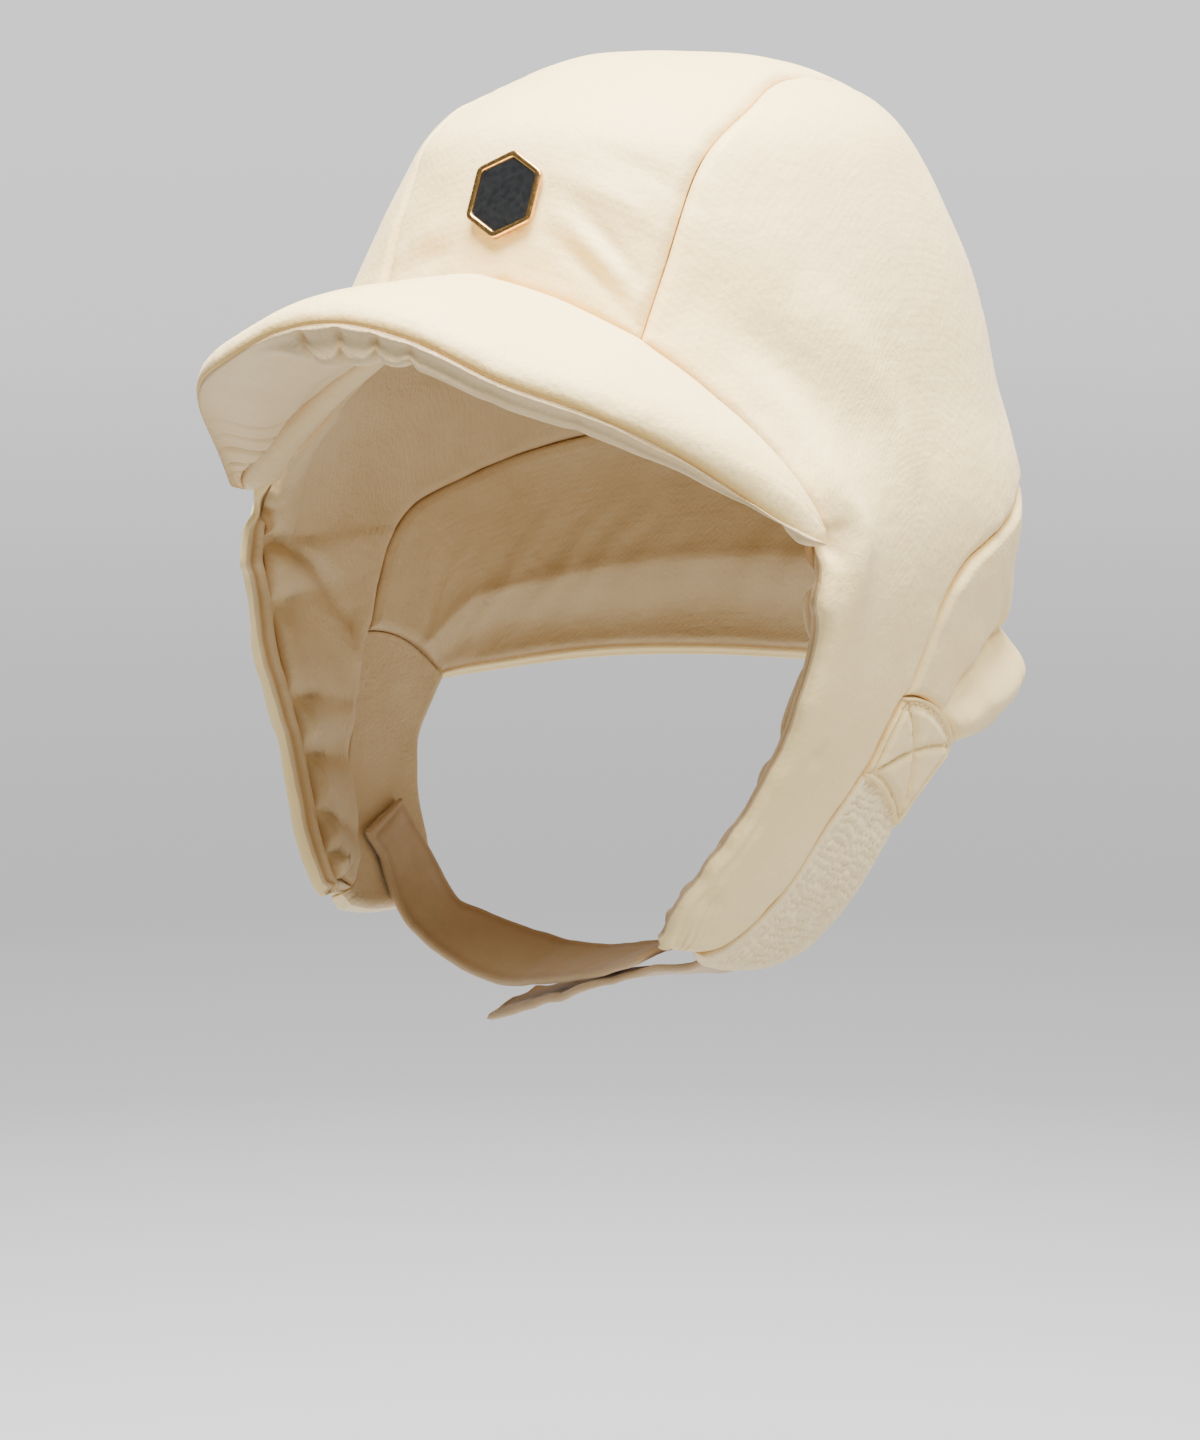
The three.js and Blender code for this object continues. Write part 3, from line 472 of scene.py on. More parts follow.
def round_over(distance, radius):
    """0 at the radius and beyond, 1 at the border, turned as a quarter circle."""
    t = np.clip(distance / radius, 0, 1)
    return 1 - np.sqrt(1 - (1 - t) ** 2)


def hump(distance, breadth):
    return np.exp(-((distance / breadth) ** 2))


def ease(t):
    """From 0 to 1 as t goes, with a gentle start and end."""
    t = np.clip(t, 0, 1)
    return t * t * (3 - 2 * t)


def to_stretch(points, start, end):
    """Distance of points to a straight stretch, and the share of it where each is nearest."""
    way = end - start
    share = np.clip((points - start) @ way / (way @ way), 0, 1)
    return np.linalg.norm(points - start - share[..., None] * way, axis=-1), share


def fold_height(chart):
    height = 0
    for x0, y0, x1, y1, breadth, rise in rows_of(FOLDS):
        start, end = np.array([[x0, y0], [x1, y1]]) * BACK_REACH
        away, share = to_stretch(chart, start, end)
        fade = np.sin(np.pi * np.clip(share, 0.12, 0.88))
        height = height + rise * PAD * fade * hump(away, breadth * BACK_REACH)
    return height


def unevenness(panel, seed):
    """Padding that is a little lumpy under the cloth."""
    broad = 0.55 * MM * noise(panel.base, 34 * MM, seed)
    return broad + 0.2 * MM * noise(panel.base, 13 * MM, seed + 1)


def puckers(away, along, seed, height=0.42 * MM, size=6.5 * MM, reach=11 * MM):
    """Short ripples that run away from a seam."""
    fade = np.exp(-away / reach) * (1 - np.exp(-away / (1.2 * MM)))
    return height * fade * strip_noise(along, away, size, 3.2, seed)


# Meshes
def closed_grid(upper, lower):
    """Vertices and faces of a solid between two matching grids."""
    rows, columns = upper.shape[:2]
    size = rows * columns
    index = np.arange(size).reshape(rows, columns)

    def quads(grid):
        corners = [grid[:-1, :-1], grid[:-1, 1:], grid[1:, 1:], grid[1:, :-1]]
        return np.stack(corners, -1).reshape(-1, 4)

    rim = np.concatenate([index[0], index[1:, -1], index[-1, -2::-1], index[-2::-1, 0]])
    wall = np.stack([rim[1:], rim[:-1], rim[:-1] + size, rim[1:] + size], -1)
    faces = np.concatenate([quads(index), quads(index + size)[:, ::-1], wall])
    verts = np.concatenate([upper.reshape(-1, 3), lower.reshape(-1, 3)])
    return verts, faces


def volume(verts, faces):
    """Six times the volume inside some quads, below 0 if they look inwards."""
    a, b, c, d = (verts[faces[:, k]] for k in range(4))
    return (np.cross(a, b) * c).sum() + (np.cross(a, c) * d).sum()


def new_piece(name, verts, faces, material, cloth=None, crease_shade=None):
    """An object of one mesh, with cloth coordinates and weights of painted crease shade if they are given.
    """
    mesh = bpy.data.meshes.new(name)
    mesh.from_pydata(np.asarray(verts).tolist(), [], faces)
    if cloth is not None:
        data = mesh.attributes.new("cloth", "FLOAT_VECTOR", "POINT").data
        data.foreach_set("vector", cloth.ravel())
    # Painted shade: these values weight a darker, warmer colour into seams and creases.
    if crease_shade is not None:
        mesh.attributes.new("crease_shade", "FLOAT", "POINT").data.foreach_set("value", crease_shade.ravel())
    mesh.materials.append(material)
    mesh.shade_smooth()
    piece = bpy.data.objects.new(name, mesh)
    bpy.context.collection.objects.link(piece)
    return piece


def layer_piece(name, upper, lower, material, crease_shade, inner_crease_shade=None, inner=None):
    """A closed layer of cloth, with another material on its inner face if one is given.

    Its cloth coordinates are distances over the upper face, and its crease values weight painted shade on
    both faces."""
    inner_crease_shade = crease_shade if inner_crease_shade is None else inner_crease_shade
    verts, faces = closed_grid(upper, lower)
    if volume(verts, faces) < 0:
        faces = faces[:, ::-1]
    across = lengths_along(upper)
    along = lengths_along(upper.transpose(1, 0, 2)).T
    cloth = np.stack([across, along, 0 * along], -1)
    # Painted shade weights for the seams and creases of both faces
    creases = np.concatenate([crease_shade, inner_crease_shade])
    piece = new_piece(name, verts, faces.tolist(), material, np.concatenate([cloth, cloth]), creases)
    if inner is not None:
        piece.data.materials.append(inner)
        count = (upper.shape[0] - 1) * (upper.shape[1] - 1)
        slots = np.zeros(len(faces), int)
        slots[count:2 * count] = 1
        piece.data.polygons.foreach_set("material_index", slots)
    return piece


# Materials
def linear(red, green, blue):
    """A colour from its 0 to 255 screen values."""
    parts = [c / 255 for c in (red, green, blue)]
    return (*(c / 12.92 if c <= 0.04045 else ((c + 0.055) / 1.055) ** 2.4 for c in parts), 1)


class Shader:
    """A Principled material and its node tree."""

    def __init__(self, name):
        self.material = bpy.data.materials.new(name)
        self.material.use_nodes = True
        self.tree = self.material.node_tree
        self.surface = self.tree.nodes["Principled BSDF"]

    def feed(self, target, value):
        """Gives an input a value or the output of another node."""
        if isinstance(value, bpy.types.NodeSocket):
            self.tree.links.new(value, target)
        else:
            target.default_value = value

    def node(self, kind, **values):
        made = self.tree.nodes.new(kind)
        for name, value in values.items():
            if hasattr(made, name):
                setattr(made, name, value)
            else:
                self.feed(made.inputs[name.replace("_", " ")], value)
        return made

    def set(self, name, value):
        self.feed(self.surface.inputs[name], value)

    def here(self):
        """The position on the object."""
        return self.node("ShaderNodeTexCoord").outputs["Object"]

    def read(self, attribute, output):
        """What is stored at the mesh's points."""
        return self.node("ShaderNodeAttribute", attribute_name=attribute).outputs[output]

    def noise(self, place, scale, detail):
        return self.node("ShaderNodeTexNoise", Vector=place, Scale=scale, Detail=detail).outputs["Fac"]

    def mix(self, share, first, second):
        made = self.node("ShaderNodeMix", data_type="RGBA", Factor=share)
        self.feed(made.inputs[6], first)
        self.feed(made.inputs[7], second)
        return made.outputs[2]

    def spread(self, value, low, high, to_low=0.0, to_high=1.0):
        made = self.node(
            "ShaderNodeMapRange", Value=value, From_Min=low, From_Max=high, To_Min=to_low, To_Max=to_high
        )
        return made.outputs["Result"]

    def bumps(self, *layers):
        """Bump layers of (height, distance), each laid on the one before."""
        normal = None
        for height, distance in layers:
            made = self.node("ShaderNodeBump", Strength=1.0, Distance=distance, Height=height)
            if normal is not None:
                self.feed(made.inputs["Normal"], normal)
            normal = made.outputs["Normal"]
        self.set("Normal", normal)


def weave(shader, place, pitch):
    """Plain weave: threads over and under in both directions."""
    over, under = (
        shader.node(
            "ShaderNodeTexWave", bands_direction=way, Vector=place, Scale=1 / (pitch * 20), Distortion=0.6
        )
        for way in ("X", "Y")
    )
    both = shader.node("ShaderNodeMath", operation="MULTIPLY")
    shader.feed(both.inputs[0], over.outputs["Fac"])
    shader.feed(both.inputs[1], under.outputs["Fac"])
    return both.outputs[0]


def cloth_material(name, light, shade, crease_shade, roughness, pitch, sheen, bump):
    """Cloth whose colour drifts a little, is painted darker and warmer in its creases as their shade, and
    has a fine weave.
    """
    shader = Shader(name)
    place = shader.here()
    drift = shader.spread(shader.noise(place, 28, 3), 0.35, 0.65)
    slub = shader.spread(shader.noise(place, 1300, 1), 0.3, 0.7)
    crinkle = shader.noise(place, 240, 3)
    threads = weave(shader, shader.read("cloth", "Vector"), pitch)
    colour = shader.mix(drift, light, shade)
    colour = shader.mix(shader.spread(slub, 0, 1, 0, 0.22), colour, shade)
    # Painted shade: the crease colour is mixed in where the crease values are high.
    shader.set("Base Color", shader.mix(shader.read("crease_shade", "Fac"), colour, crease_shade))
    shader.set("Roughness", shader.spread(slub, 0, 1, roughness - 0.05, roughness + 0.07))
    shader.set("Sheen Weight", sheen)
    shader.set("Sheen Roughness", 0.45)
    shader.set("Specular IOR Level", 0.32)
    shader.bumps((crinkle, bump), (slub, bump * 0.09), (threads, bump * 0.12))
    return shader.material


# Each cloth's third colour is the painted shade of its seams and creases.
SHELL = cloth_material(
    "shell_fabric", linear(250, 223, 162), linear(247, 218, 154), linear(224, 186, 110),
    0.62, 0.45 * MM, 0.12, 0.4 * MM,
)
# Painted shade: the lining cloth is coloured darker and more golden than the shell to stand in for the
# shade inside the hood.
SHADED_LINING_CLOTH = cloth_material(
    "lining_fabric", linear(213, 187, 142), linear(205, 178, 132), linear(178, 137, 83),
    0.55, 0.4 * MM, 0.1, 0.5 * MM,
)
# Painted shade: the facing is coloured darker than the shell to stand in for the shade under the peak.
SHADED_FACING_CLOTH = cloth_material(
    "facing_fabric", linear(226, 201, 154), linear(219, 193, 145), linear(194, 152, 94),
    0.55, 0.4 * MM, 0.1, 0.5 * MM,
)
# Painted shade: the straps are coloured darker and browner than the shell to stand in for the shade under
# the chin.
SHADED_STRAP_CLOTH = cloth_material(
    "strap_fabric", linear(198, 170, 130), linear(186, 156, 114), linear(160, 118, 72),
    0.75, 0.6 * MM, 0.3, 0.4 * MM,
)


def loop_material():
    """Loop tape: a nap of fine loops in small tufts."""
    shader = Shader("loop_tape")
    place = shader.here()
    cell = shader.node("ShaderNodeTexVoronoi", Vector=place, Scale=900.0)
    tufts = shader.noise(place, 420, 4)
    colour = shader.mix(shader.spread(tufts, 0.3, 0.7), linear(254, 232, 180), linear(249, 222, 166))
    # Painted shade: a darker, warmer colour at the tape's seams.
    colour = shader.mix(shader.read("crease_shade", "Fac"), colour, linear(226, 188, 124))
    shader.set("Base Color", colour)
    shader.set("Roughness", 0.9)
    shader.set("Sheen Weight", 0.45)
    shader.set("Specular IOR Level", 0.2)
    shader.bumps((tufts, 0.35 * MM), (cell.outputs["Distance"], 0.12 * MM))
    return shader.material


LOOPS = loop_material()


def thread_material():
    shader = Shader("thread")
    twist = shader.noise(shader.read("cloth", "Vector"), 1500, 1)
    colour = shader.mix(shader.spread(twist, 0.35, 0.65), linear(246, 217, 156), linear(232, 198, 134))
    shader.set("Base Color", colour)
    shader.set("Roughness", 0.6)
    shader.set("Sheen Weight", 0.2)
    shader.bumps((twist, 0.1 * MM))
    return shader.material


THREAD = thread_material()


def worn_shader(name, grain, worn_at, bright, dull, smooth, rough):
    """A hard surface with fine wear: grain is the scale and detail of its noise."""
    shader = Shader(name)
    wear = shader.noise(shader.here(), *grain)
    shader.set("Base Color", shader.mix(shader.spread(wear, 0.35, worn_at), bright, dull))
    shader.set("Roughness", shader.spread(wear, 0.3, 0.7, smooth, rough))
    shader.bumps((wear, 0.02 * MM))
    return shader


def gold_material():
    bright, dull = linear(232, 190, 122), linear(205, 156, 92)
    shader = worn_shader("badge_gold", (700, 4), 0.7, bright, dull, 0.16, 0.32)
    shader.set("Metallic", 1.0)
    return shader.material


def enamel_material():
    bright, dull = linear(20, 22, 24), linear(30, 31, 33)
    shader = worn_shader("badge_enamel", (500, 3), 0.65, bright, dull, 0.14, 0.24)
    shader.set("Coat Weight", 0.5)
    return shader.material


# Padded shell panels
def seam_sink(distances, depth=SEAM_DIP, radius=SEAM_ROUND):
    """How far a face sinks at the nearest of some seams."""
    return depth * np.clip(1 - np.min(distances, axis=0) / radius, 0, 1) ** 2.2


def seam_crease_shade(distances, breadth=1.3 * MM):
    """How much a point lies in the bottom of the nearest seam, from 0 to 1, as the weight of painted shade
    there.
    """
    return np.clip(1 - np.min(distances, axis=0) / breadth, 0, 1)


def padded_layer(seams, edges, relief, inner_relief=0):
    """Upper and lower heights of a padded panel that is sewn at seams and rolled at free edges.

    edges are pairs of a distance to the edge and how free it is, from 0 to 1."""
    turn, ridge = 0 * relief, 0 * relief
    for edge, free in edges:
        turn = np.maximum(turn, round_over(edge, EDGE_ROLL) * free)
        folded = EDGE_RIDGE * hump(edge - EDGE_RIDGE_IN, 1.1 * MM)
        folded = folded - EDGE_SEAM * hump(edge - EDGE_SEAM_IN, 0.5 * MM)
        ridge = ridge + folded * free * (1 - ridge / EDGE_RIDGE)
    upper = relief - seam_sink(seams) * (1 - turn) - 0.5 * PAD * turn
    lower = inner_relief - PAD + 0.46 * PAD * turn - ridge + (relief - inner_relief) * turn
    return upper, lower


BROW_LENGTH = lengths_along(outside(brow))[-1]
CHEEK_LENGTH = lengths_along(outside(cheek))[-1]
NAPE_LENGTH = lengths_along(outside(nape_side))[-1]
BROW_FADE = 8 * MM  # length over which the panel's edge comes free, up to the peak's end


def below_peak(along):
    """0 where the side panel's front border is sewn to the peak, 1 where it is free."""
    return ease((along - BROW_LENGTH) / BROW_FADE + 1)


def crown_centre():
    panel = Panel(CENTRE, 170, 110, SEAM_IN, SEAM_IN, SEAM_IN, SEAM_IN)
    relief = fold_height(panel.chart) + unevenness(panel, 11)
    long_seams = [(away, panel.along) for away in (panel.left, panel.right)]
    short_seams = [(away, panel.across) for away in (panel.near, panel.far)]
    for seed, (away, along) in enumerate(long_seams + short_seams, 20):
        relief = relief + puckers(away, along, seed)
    upper, lower = padded_layer([panel.left, panel.right, panel.near + 1.6 * MM, panel.far], [], relief)
    # Painted shade along the seams.
    crease_shade = 0.6 * seam_crease_shade([panel.left, panel.right, panel.near + 0.8 * MM, panel.far], 1.8 * MM)
    return layer_piece("crown_centre_padding", *panel.faces(upper, lower), SHELL, crease_shade)


def nearest_on(points, line):
    """Distance of points to a line of points, and how far along it their nearest place is."""
    nearest = np.full(points.shape[:-1], np.inf)
    place = np.zeros(points.shape[:-1])
    for start, end, passed in zip(line[:-1], line[1:], lengths_along(line)):
        away, share = to_stretch(points, start, end)
        place = np.where(away < nearest, passed + share * np.linalg.norm(end - start), place)
        nearest = np.minimum(nearest, away)
    return nearest, place


def measure_front(panel):
    """Measures a side panel from its front border.

    left is the distance to it, down the way along it, below the same from the peak's end on, and
    free is 0 where the border is sewn to the peak and 1 where it isn't."""
    panel.left, panel.down = nearest_on(panel.base, outside(joined(brow, cheek)[::3]))
    panel.below = panel.down - BROW_LENGTH
    panel.free = below_peak(panel.down)


EDGE_LEAN = {1: -4.5 * MM, -1: 4 * MM}  # how far ahead each flap's edge leans below the peak


def edge_lean(panel, side):
    """Leans a flap's front edge ahead or back, most of all just below the peak."""
    outwards = unit(panel.base[:, :1] - panel.base[:, 20:21])
    at_edge = hump(panel.left, 5 * MM)
    start = panel.free * at_edge + ease((panel.below + 22 * MM) / (34 * MM)) * (1 - at_edge)
    fade = start * hump(panel.below - 8 * MM, 0.45 * CHEEK_LENGTH)
    return outwards * (EDGE_LEAN[side] * fade * np.exp(-panel.left / (18 * MM)))[..., None]


def edge_bumps(panel, seed):
    """Shifts a flap's front edge in and out where its padding bunches."""
    outwards = unit(panel.base[:, :1] - panel.base[:, 12:13])
    line = np.stack([panel.down, 0 * panel.down, 0 * panel.down], -1)
    lump = noise(line, 13 * MM, seed) + 0.5 * noise(line, 6 * MM, seed + 1)
    lump = lump + 1.5 * hump(panel.below - 0.15 * CHEEK_LENGTH, 4 * MM)
    shift = 1.1 * MM * panel.free * lump * np.exp(-panel.left / (8 * MM))
    return outwards * shift[..., None]


CHEEK_RIDGE = 2.6 * MM  # padded roll that runs from the peak's end down the flap's edge
CHEEK_RIDGE_IN = 14 * MM
CHEEK_GROOVE = 1.1 * MM  # sewn groove along the lower half of the flap's edge
CHEEK_GROOVE_IN = 3.3 * MM

# Dimples in the flap: chart place, as shares of BACK_REACH, size and depth in millimetres.
DIMPLES = table(
    "x y size depth",
    (1.9, -1.41, 3.2, 1.3), (1.71, -2.15, 3.4, 1.2), (1.68, -1.92, 3.6, 0.8), (2.01, 0.07, 4, 1.2),
)


def cheek_roll(panel):
    """The flap's edge: a padded roll behind the peak's end, a shallow groove below it and dimples."""
    beside = CHEEK_RIDGE * hump(panel.below + 9 * MM, 34 * MM)
    roll = beside * hump(panel.left - CHEEK_RIDGE_IN, 6 * MM)
    roll = roll - 0.3 * beside * hump(panel.left - 2 * CHEEK_RIDGE_IN, 9 * MM)
    roll = roll - 1.3 * MM * hump(panel.below - 4 * MM, 12 * MM) * hump(panel.left - 5 * MM, 3.5 * MM)
    low = np.clip((panel.below - 0.52 * CHEEK_LENGTH) / (18 * MM), 0, 1)
    groove = CHEEK_GROOVE * low * hump(panel.left - CHEEK_GROOVE_IN, 0.9 * MM)
    notch = 2.6 * MM * hump(panel.below - 4 * MM, 4.5 * MM) * hump(panel.left - 2 * MM, 4 * MM)
    dents = 0
    for x, y, size, depth in rows_of(DIMPLES):
        away = np.linalg.norm(panel.base - outside(np.array([x, y]) * BACK_REACH), axis=-1)
        dents = dents + depth * MM * (hump(away, size * MM) - 0.3 * hump(away, 2 * size * MM))
    return roll - groove - notch - dents


def side_panel(side, name, seed):
    panel = Panel(SIDE, 180, 140, SEAM_IN, 0, 0, SEAM_IN)
    measure_front(panel)
    panel.base = panel.base + edge_bumps(panel, seed + 5) + edge_lean(panel, side)
    free = panel.free
    grow = np.clip(1.4 * panel.down / BROW_LENGTH - 0.3, 0, 1)
    sewn = panel.left + 20 * MM * free + 1.6 * MM * (1 - grow)
    valley = grow * hump(panel.below + 9 * MM, 20 * MM) * hump(panel.left, 4.5 * MM)
    beside_tape = np.clip((panel.along - NAPE_LENGTH) / (10 * MM), 0, 1)
    relief = fold_height(panel.chart * [side, 1]) + unevenness(panel, seed) + cheek_roll(panel)
    relief = relief + puckers(panel.near, panel.across, seed + 1)
    relief = relief + puckers(panel.right, panel.along, seed + 2)
    relief = relief + puckers(panel.left, panel.down, seed + 3, 0.9 * MM, 11 * MM, 9 * MM)
    relief = relief - 1.7 * MM * grow * (1 - free) * hump(panel.left, 2.4 * MM) - 1.0 * MM * valley
    relief = relief - 1.5 * MM * beside_tape * hump(panel.right, 1.9 * MM)
    edges = [(panel.left, free), (panel.far, 1)]
    upper, lower = padded_layer([panel.near, panel.right, sewn], edges, relief)
    # Painted shade: in the seams, beside the tape, along the sewn groove and in the valley by the peak's
    # end.
    creases = [
        seam_crease_shade([panel.right]),
        0.6 * seam_crease_shade([panel.near], 1.8 * MM),
        beside_tape * hump(panel.right, 2.0 * MM),
        seam_crease_shade([sewn], 2.2 * MM),
        0.75 * valley * (1 - free),
    ]
    # Painted shade in the lining's seam groove on the inner face.
    inner_crease_shade = free * hump(panel.left - EDGE_SEAM_IN, 0.5 * MM)
    faces = panel.faces(upper, lower, side)
    return layer_piece(name, *faces, SHELL, np.max(creases, axis=0), inner_crease_shade, SHADED_LINING_CLOTH)


def neck_relief(panel):
    """The neck panel's swell over its elastic and the gathers across it."""
    down = panel.near / (panel.near + panel.far)
    round_share = panel.left / (panel.left + panel.right)
    ends = np.sqrt(np.clip(2.2 * np.sin(np.pi * round_share), 0, 1))
    swell = profile(NECK_SWELL["down"], NECK_SWELL["out"] * PAD)(down)
    depth = profile(NECK_SWELL["down"], NECK_SWELL["gathers"] * NECK_GATHER)(down)
    wander = 3 * MM * noise(panel.base, 20 * MM, 61)
    gather = strip_noise(panel.across + wander, panel.along, 9 * MM, 5, 62)
    creases = 2.1 * MM * hump(down - 0.6, 0.03) + 1.2 * MM * hump(down - 0.93, 0.03)
    return ends * (swell + 1.6 * depth * gather - creases)


def neck_panel():
    panel = Panel(NECK, 80, 220, SEAM_IN, 0, SEAM_IN, SEAM_IN)
    seams = [panel.left, panel.right, panel.near]
    swell = neck_relief(panel)
    relief = swell + unevenness(panel, 64) + puckers(panel.near, panel.across, 65)
    relief = relief + puckers(panel.left, panel.along, 66) + puckers(panel.right, panel.along, 67)
    upper, lower = padded_layer(seams, [(panel.far, 1)], relief, NECK_INNER * swell)
    # Painted shade along the seams.
    return layer_piece("neck_panel_padding", *panel.faces(upper, lower), SHELL, seam_crease_shade(seams))


# Lining
LINING_DIP = 1.5 * MM
LINING_ROUND = 5 * MM
FACING_WIDTH = 17 * MM  # band of facing behind the peak's root
FACING_END = 13 * MM  # how far below the peak's end it stops
FACING_RISE = 3.2 * MM
PILLOW_RISE = 3.8 * MM  # height of the lining's pillows between its pits

# Pits where the flap's lining is drawn in at its front seam: the share of the cheek's length below
# the peak, the distance in from the seam and the size, both in millimetres.
LINING_PITS = table(
    "down across size",
    (0.1, 1.5, 4), (0.27, 1.5, 4), (0.5, 2, 4.5), (0.63, 1.5, 4), (0.79, 2, 4), (0.9, 1.5, 3), (1, 1.5, 3),
)
LINING_PIT = 2.2 * MM  # their depth

# Folds in that lining, from (in from the front, down from the peak's end) to the same, with a half
# breadth and a height, all in millimetres.
LINING_FOLDS = table(
    "x0 y0 x1 y1 breadth height",
    (6, 12, 42, 42, 3, -2.2), (8, 22, 40, 52, 6, 1.6), (8, 84, 34, 78, 4, -1.2),
)


def lining_layer(panel, seams, edges, relief):
    """Lining heights: the inner face pillows between its seams and ends in a groove at the edges."""
    lower = -WALL - relief + seam_sink(seams + edges, LINING_DIP, LINING_ROUND)
    upper = np.maximum(lower + 0.6 * MM, -PAD - LAYER_GAP + 0 * lower)
    return upper, lower


def lining_relief(panel, seed):
    broad = 0.45 * MM * noise(panel.base, 24 * MM, seed)
    return broad + 0.25 * MM * noise(panel.base, 9 * MM, seed + 1)


def lining_centre():
    panel = Panel(CENTRE, 110, 72, SEAM_IN, SEAM_IN, SEAM_IN, SEAM_IN)
    seams = [panel.left, panel.right, panel.near, panel.far]
    faces = panel.faces(*lining_layer(panel, seams, [], lining_relief(panel, 71)))
    # Painted shade along the seams.
    return layer_piece("lining_centre_cloth", *faces, SHADED_LINING_CLOTH, seam_crease_shade(seams))


def facing_band(panel):
    """The rounded rise of the facing behind the peak's root, and the distance to its sewn rim."""
    past = panel.left - FACING_WIDTH
    below_end = panel.below - FACING_END
    band = np.sqrt(np.clip(1 - ((past + 0.55 * FACING_WIDTH) / (0.55 * FACING_WIDTH)) ** 2, 0, 1))
    band = band * np.sqrt(np.clip(1 - np.clip(below_end / (5 * MM) + 1, 0, 1) ** 2, 0, 1))
    rim = np.minimum(np.maximum(np.abs(past), below_end), np.maximum(np.abs(below_end), past))
    return band, rim


def drawn_in(panel, edge, seed):
    """The flap's lining: pillows between the pits along its front seam, and its folds."""
    pillow = (1 - np.exp(-edge / (1.5 * MM))) * np.exp(-edge / (30 * MM))
    wander = panel.below + 3 * MM * noise(panel.base, 18 * MM, seed)
    pits = LINING_PITS["down"] * CHEEK_LENGTH
    phase = np.interp(wander, pits, np.arange(len(pits)))
    height = PILLOW_RISE * pillow * np.abs(np.sin(math.pi * phase)) ** 0.7 * panel.free
    for down, across, size in rows_of(LINING_PITS):
        away = np.hypot(panel.below - down * CHEEK_LENGTH, 1.3 * (edge - across * MM))
        height = height - LINING_PIT * hump(away, size * MM)
    for x0, y0, x1, y1, breadth, rise in rows_of(LINING_FOLDS):
        start, end = np.array([[x0, y0], [x1, y1]]) * MM
        away, share = to_stretch(np.stack([panel.left, panel.below], -1), start, end)
        height = height + rise * MM * hump(away, breadth * MM)
    return height


def lining_side(side, name, seed):
    def inset(share):
        return SEAM_IN + (LINING_INSET - SEAM_IN) * below_peak(share * (BROW_LENGTH + CHEEK_LENGTH))

    panel = Panel(SIDE, 150, 130, SEAM_IN, LINING_INSET, inset, SEAM_IN)
    measure_front(panel)
    panel.base = panel.base + edge_lean(panel, side)
    edge = np.maximum(panel.left - panel.left[:, :1], 0)
    band, rim = facing_band(panel)
    ripples = puckers(panel.left, panel.below, seed + 3, 0.9 * MM, 9 * MM, 12 * MM)
    relief = lining_relief(panel, seed) + drawn_in(panel, edge, seed + 2)
    relief = relief + FACING_RISE * band + ripples * np.minimum(2 * band, 1)
    seams = [panel.near, panel.right]
    edges = [edge + 20 * MM * (1 - panel.free), panel.far - LINING_INSET]
    faces = panel.faces(*lining_layer(panel, seams, edges, relief), side)
    # Painted shade at the seams, the edges and the facing's sewn rim.
    crease_shade = np.maximum(seam_crease_shade(seams + edges), 0.8 * hump(rim, 0.5 * MM))
    return layer_piece(name, *faces, SHADED_LINING_CLOTH, crease_shade)


def lining_neck():
    panel = Panel(NECK, 60, 140, SEAM_IN, LINING_INSET, SEAM_IN, SEAM_IN)
    seams = [panel.left, panel.right, panel.near]
    edge = panel.far - LINING_INSET
    relief = lining_relief(panel, 91) - NECK_INNER * neck_relief(panel)
    lower = lining_layer(panel, seams, [edge], relief)[1]
    faces = panel.faces(lower + LINING, lower)
    # Painted shade along the seams and the lower edge.
    return layer_piece("lining_neck_cloth", *faces, SHADED_LINING_CLOTH, seam_crease_shade(seams + [edge]))


# Loop tape panels and the cross-stitched patches on them
TUFT = 3.2 * MM  # size of the tape's tufts


def flattened(points):
    """Two coordinates of points along the flat that they lie nearest to."""
    middle = points.reshape(-1, 3).mean(0)
    axes = np.linalg.svd((points.reshape(-1, 3) - middle)[::7], full_matrices=False)[2]
    return (points - middle) @ axes[1], (points - middle) @ axes[0]


def tape_panel(side, name, seed):
    panel = Panel(TAPE, 170, 76, SEAM_IN, 0, SEAM_IN, 0)
    seams = [panel.near, panel.left]
    edges = [panel.far, panel.right]
    wander = [2 * MM * noise(panel.base, 4.5 * MM, seed + number) for number in (1, 2)]
    across, along = flattened(panel.base)
    over = np.sin(math.pi * (across + 0.3 * along + wander[0]) / TUFT)
    down = np.sin(math.pi * (along - 0.3 * across + wander[1]) / TUFT)
    tufts = np.abs(over * down) ** 0.7 - 0.5 + 0.4 * noise(panel.base, 4 * MM, seed)
    inside = np.min([panel.far, panel.right, panel.left], axis=0)
    border = np.clip((inside - TAPE_BINDING) / (1.5 * MM), 0, 1)
    border = border * np.clip((panel.left + panel.right - 6 * MM) / (8 * MM), 0, 1)
    binding = 0.5 * MM * hump(np.min(edges, axis=0) - 0.5 * TAPE_BINDING, 0.5 * TAPE_BINDING)
    turn = np.max([round_over(edge, 3 * MM) for edge in edges], axis=0)
    sink = seam_sink(seams, 1.2 * MM, 2.5 * MM) * (1 - turn)
    upper = 1.0 * MM * tufts * border + binding - TAPE_DROP - sink - 0.42 * TAPE_WALL * turn
    lower = -SEAM_DIP - TAPE_WALL + 0.42 * TAPE_WALL * turn
    lower = lower - 0.7 * MM * noise(panel.base, 16 * MM, seed + 3) * (1 - turn)
    # Painted shade at the tape's seams, half as strong on its inner face.
    crease_shade = seam_crease_shade(seams)
    faces = panel.faces(upper, lower, side)
    return layer_piece(name, *faces, LOOPS, crease_shade, 0.5 * crease_shade, SHADED_LINING_CLOTH)


def patch_borders():
    """The patch's borders: the tape panel's, cut off at PATCH_LENGTH."""
    share = PATCH_LENGTH / lengths_along(outside(tape_seam))[-1]
    chart = patch(TAPE, np.linspace(0, share, 60), np.linspace(0, 1, 60))
    return chart[0], chart[-1], chart[:, 0], chart[:, -1]


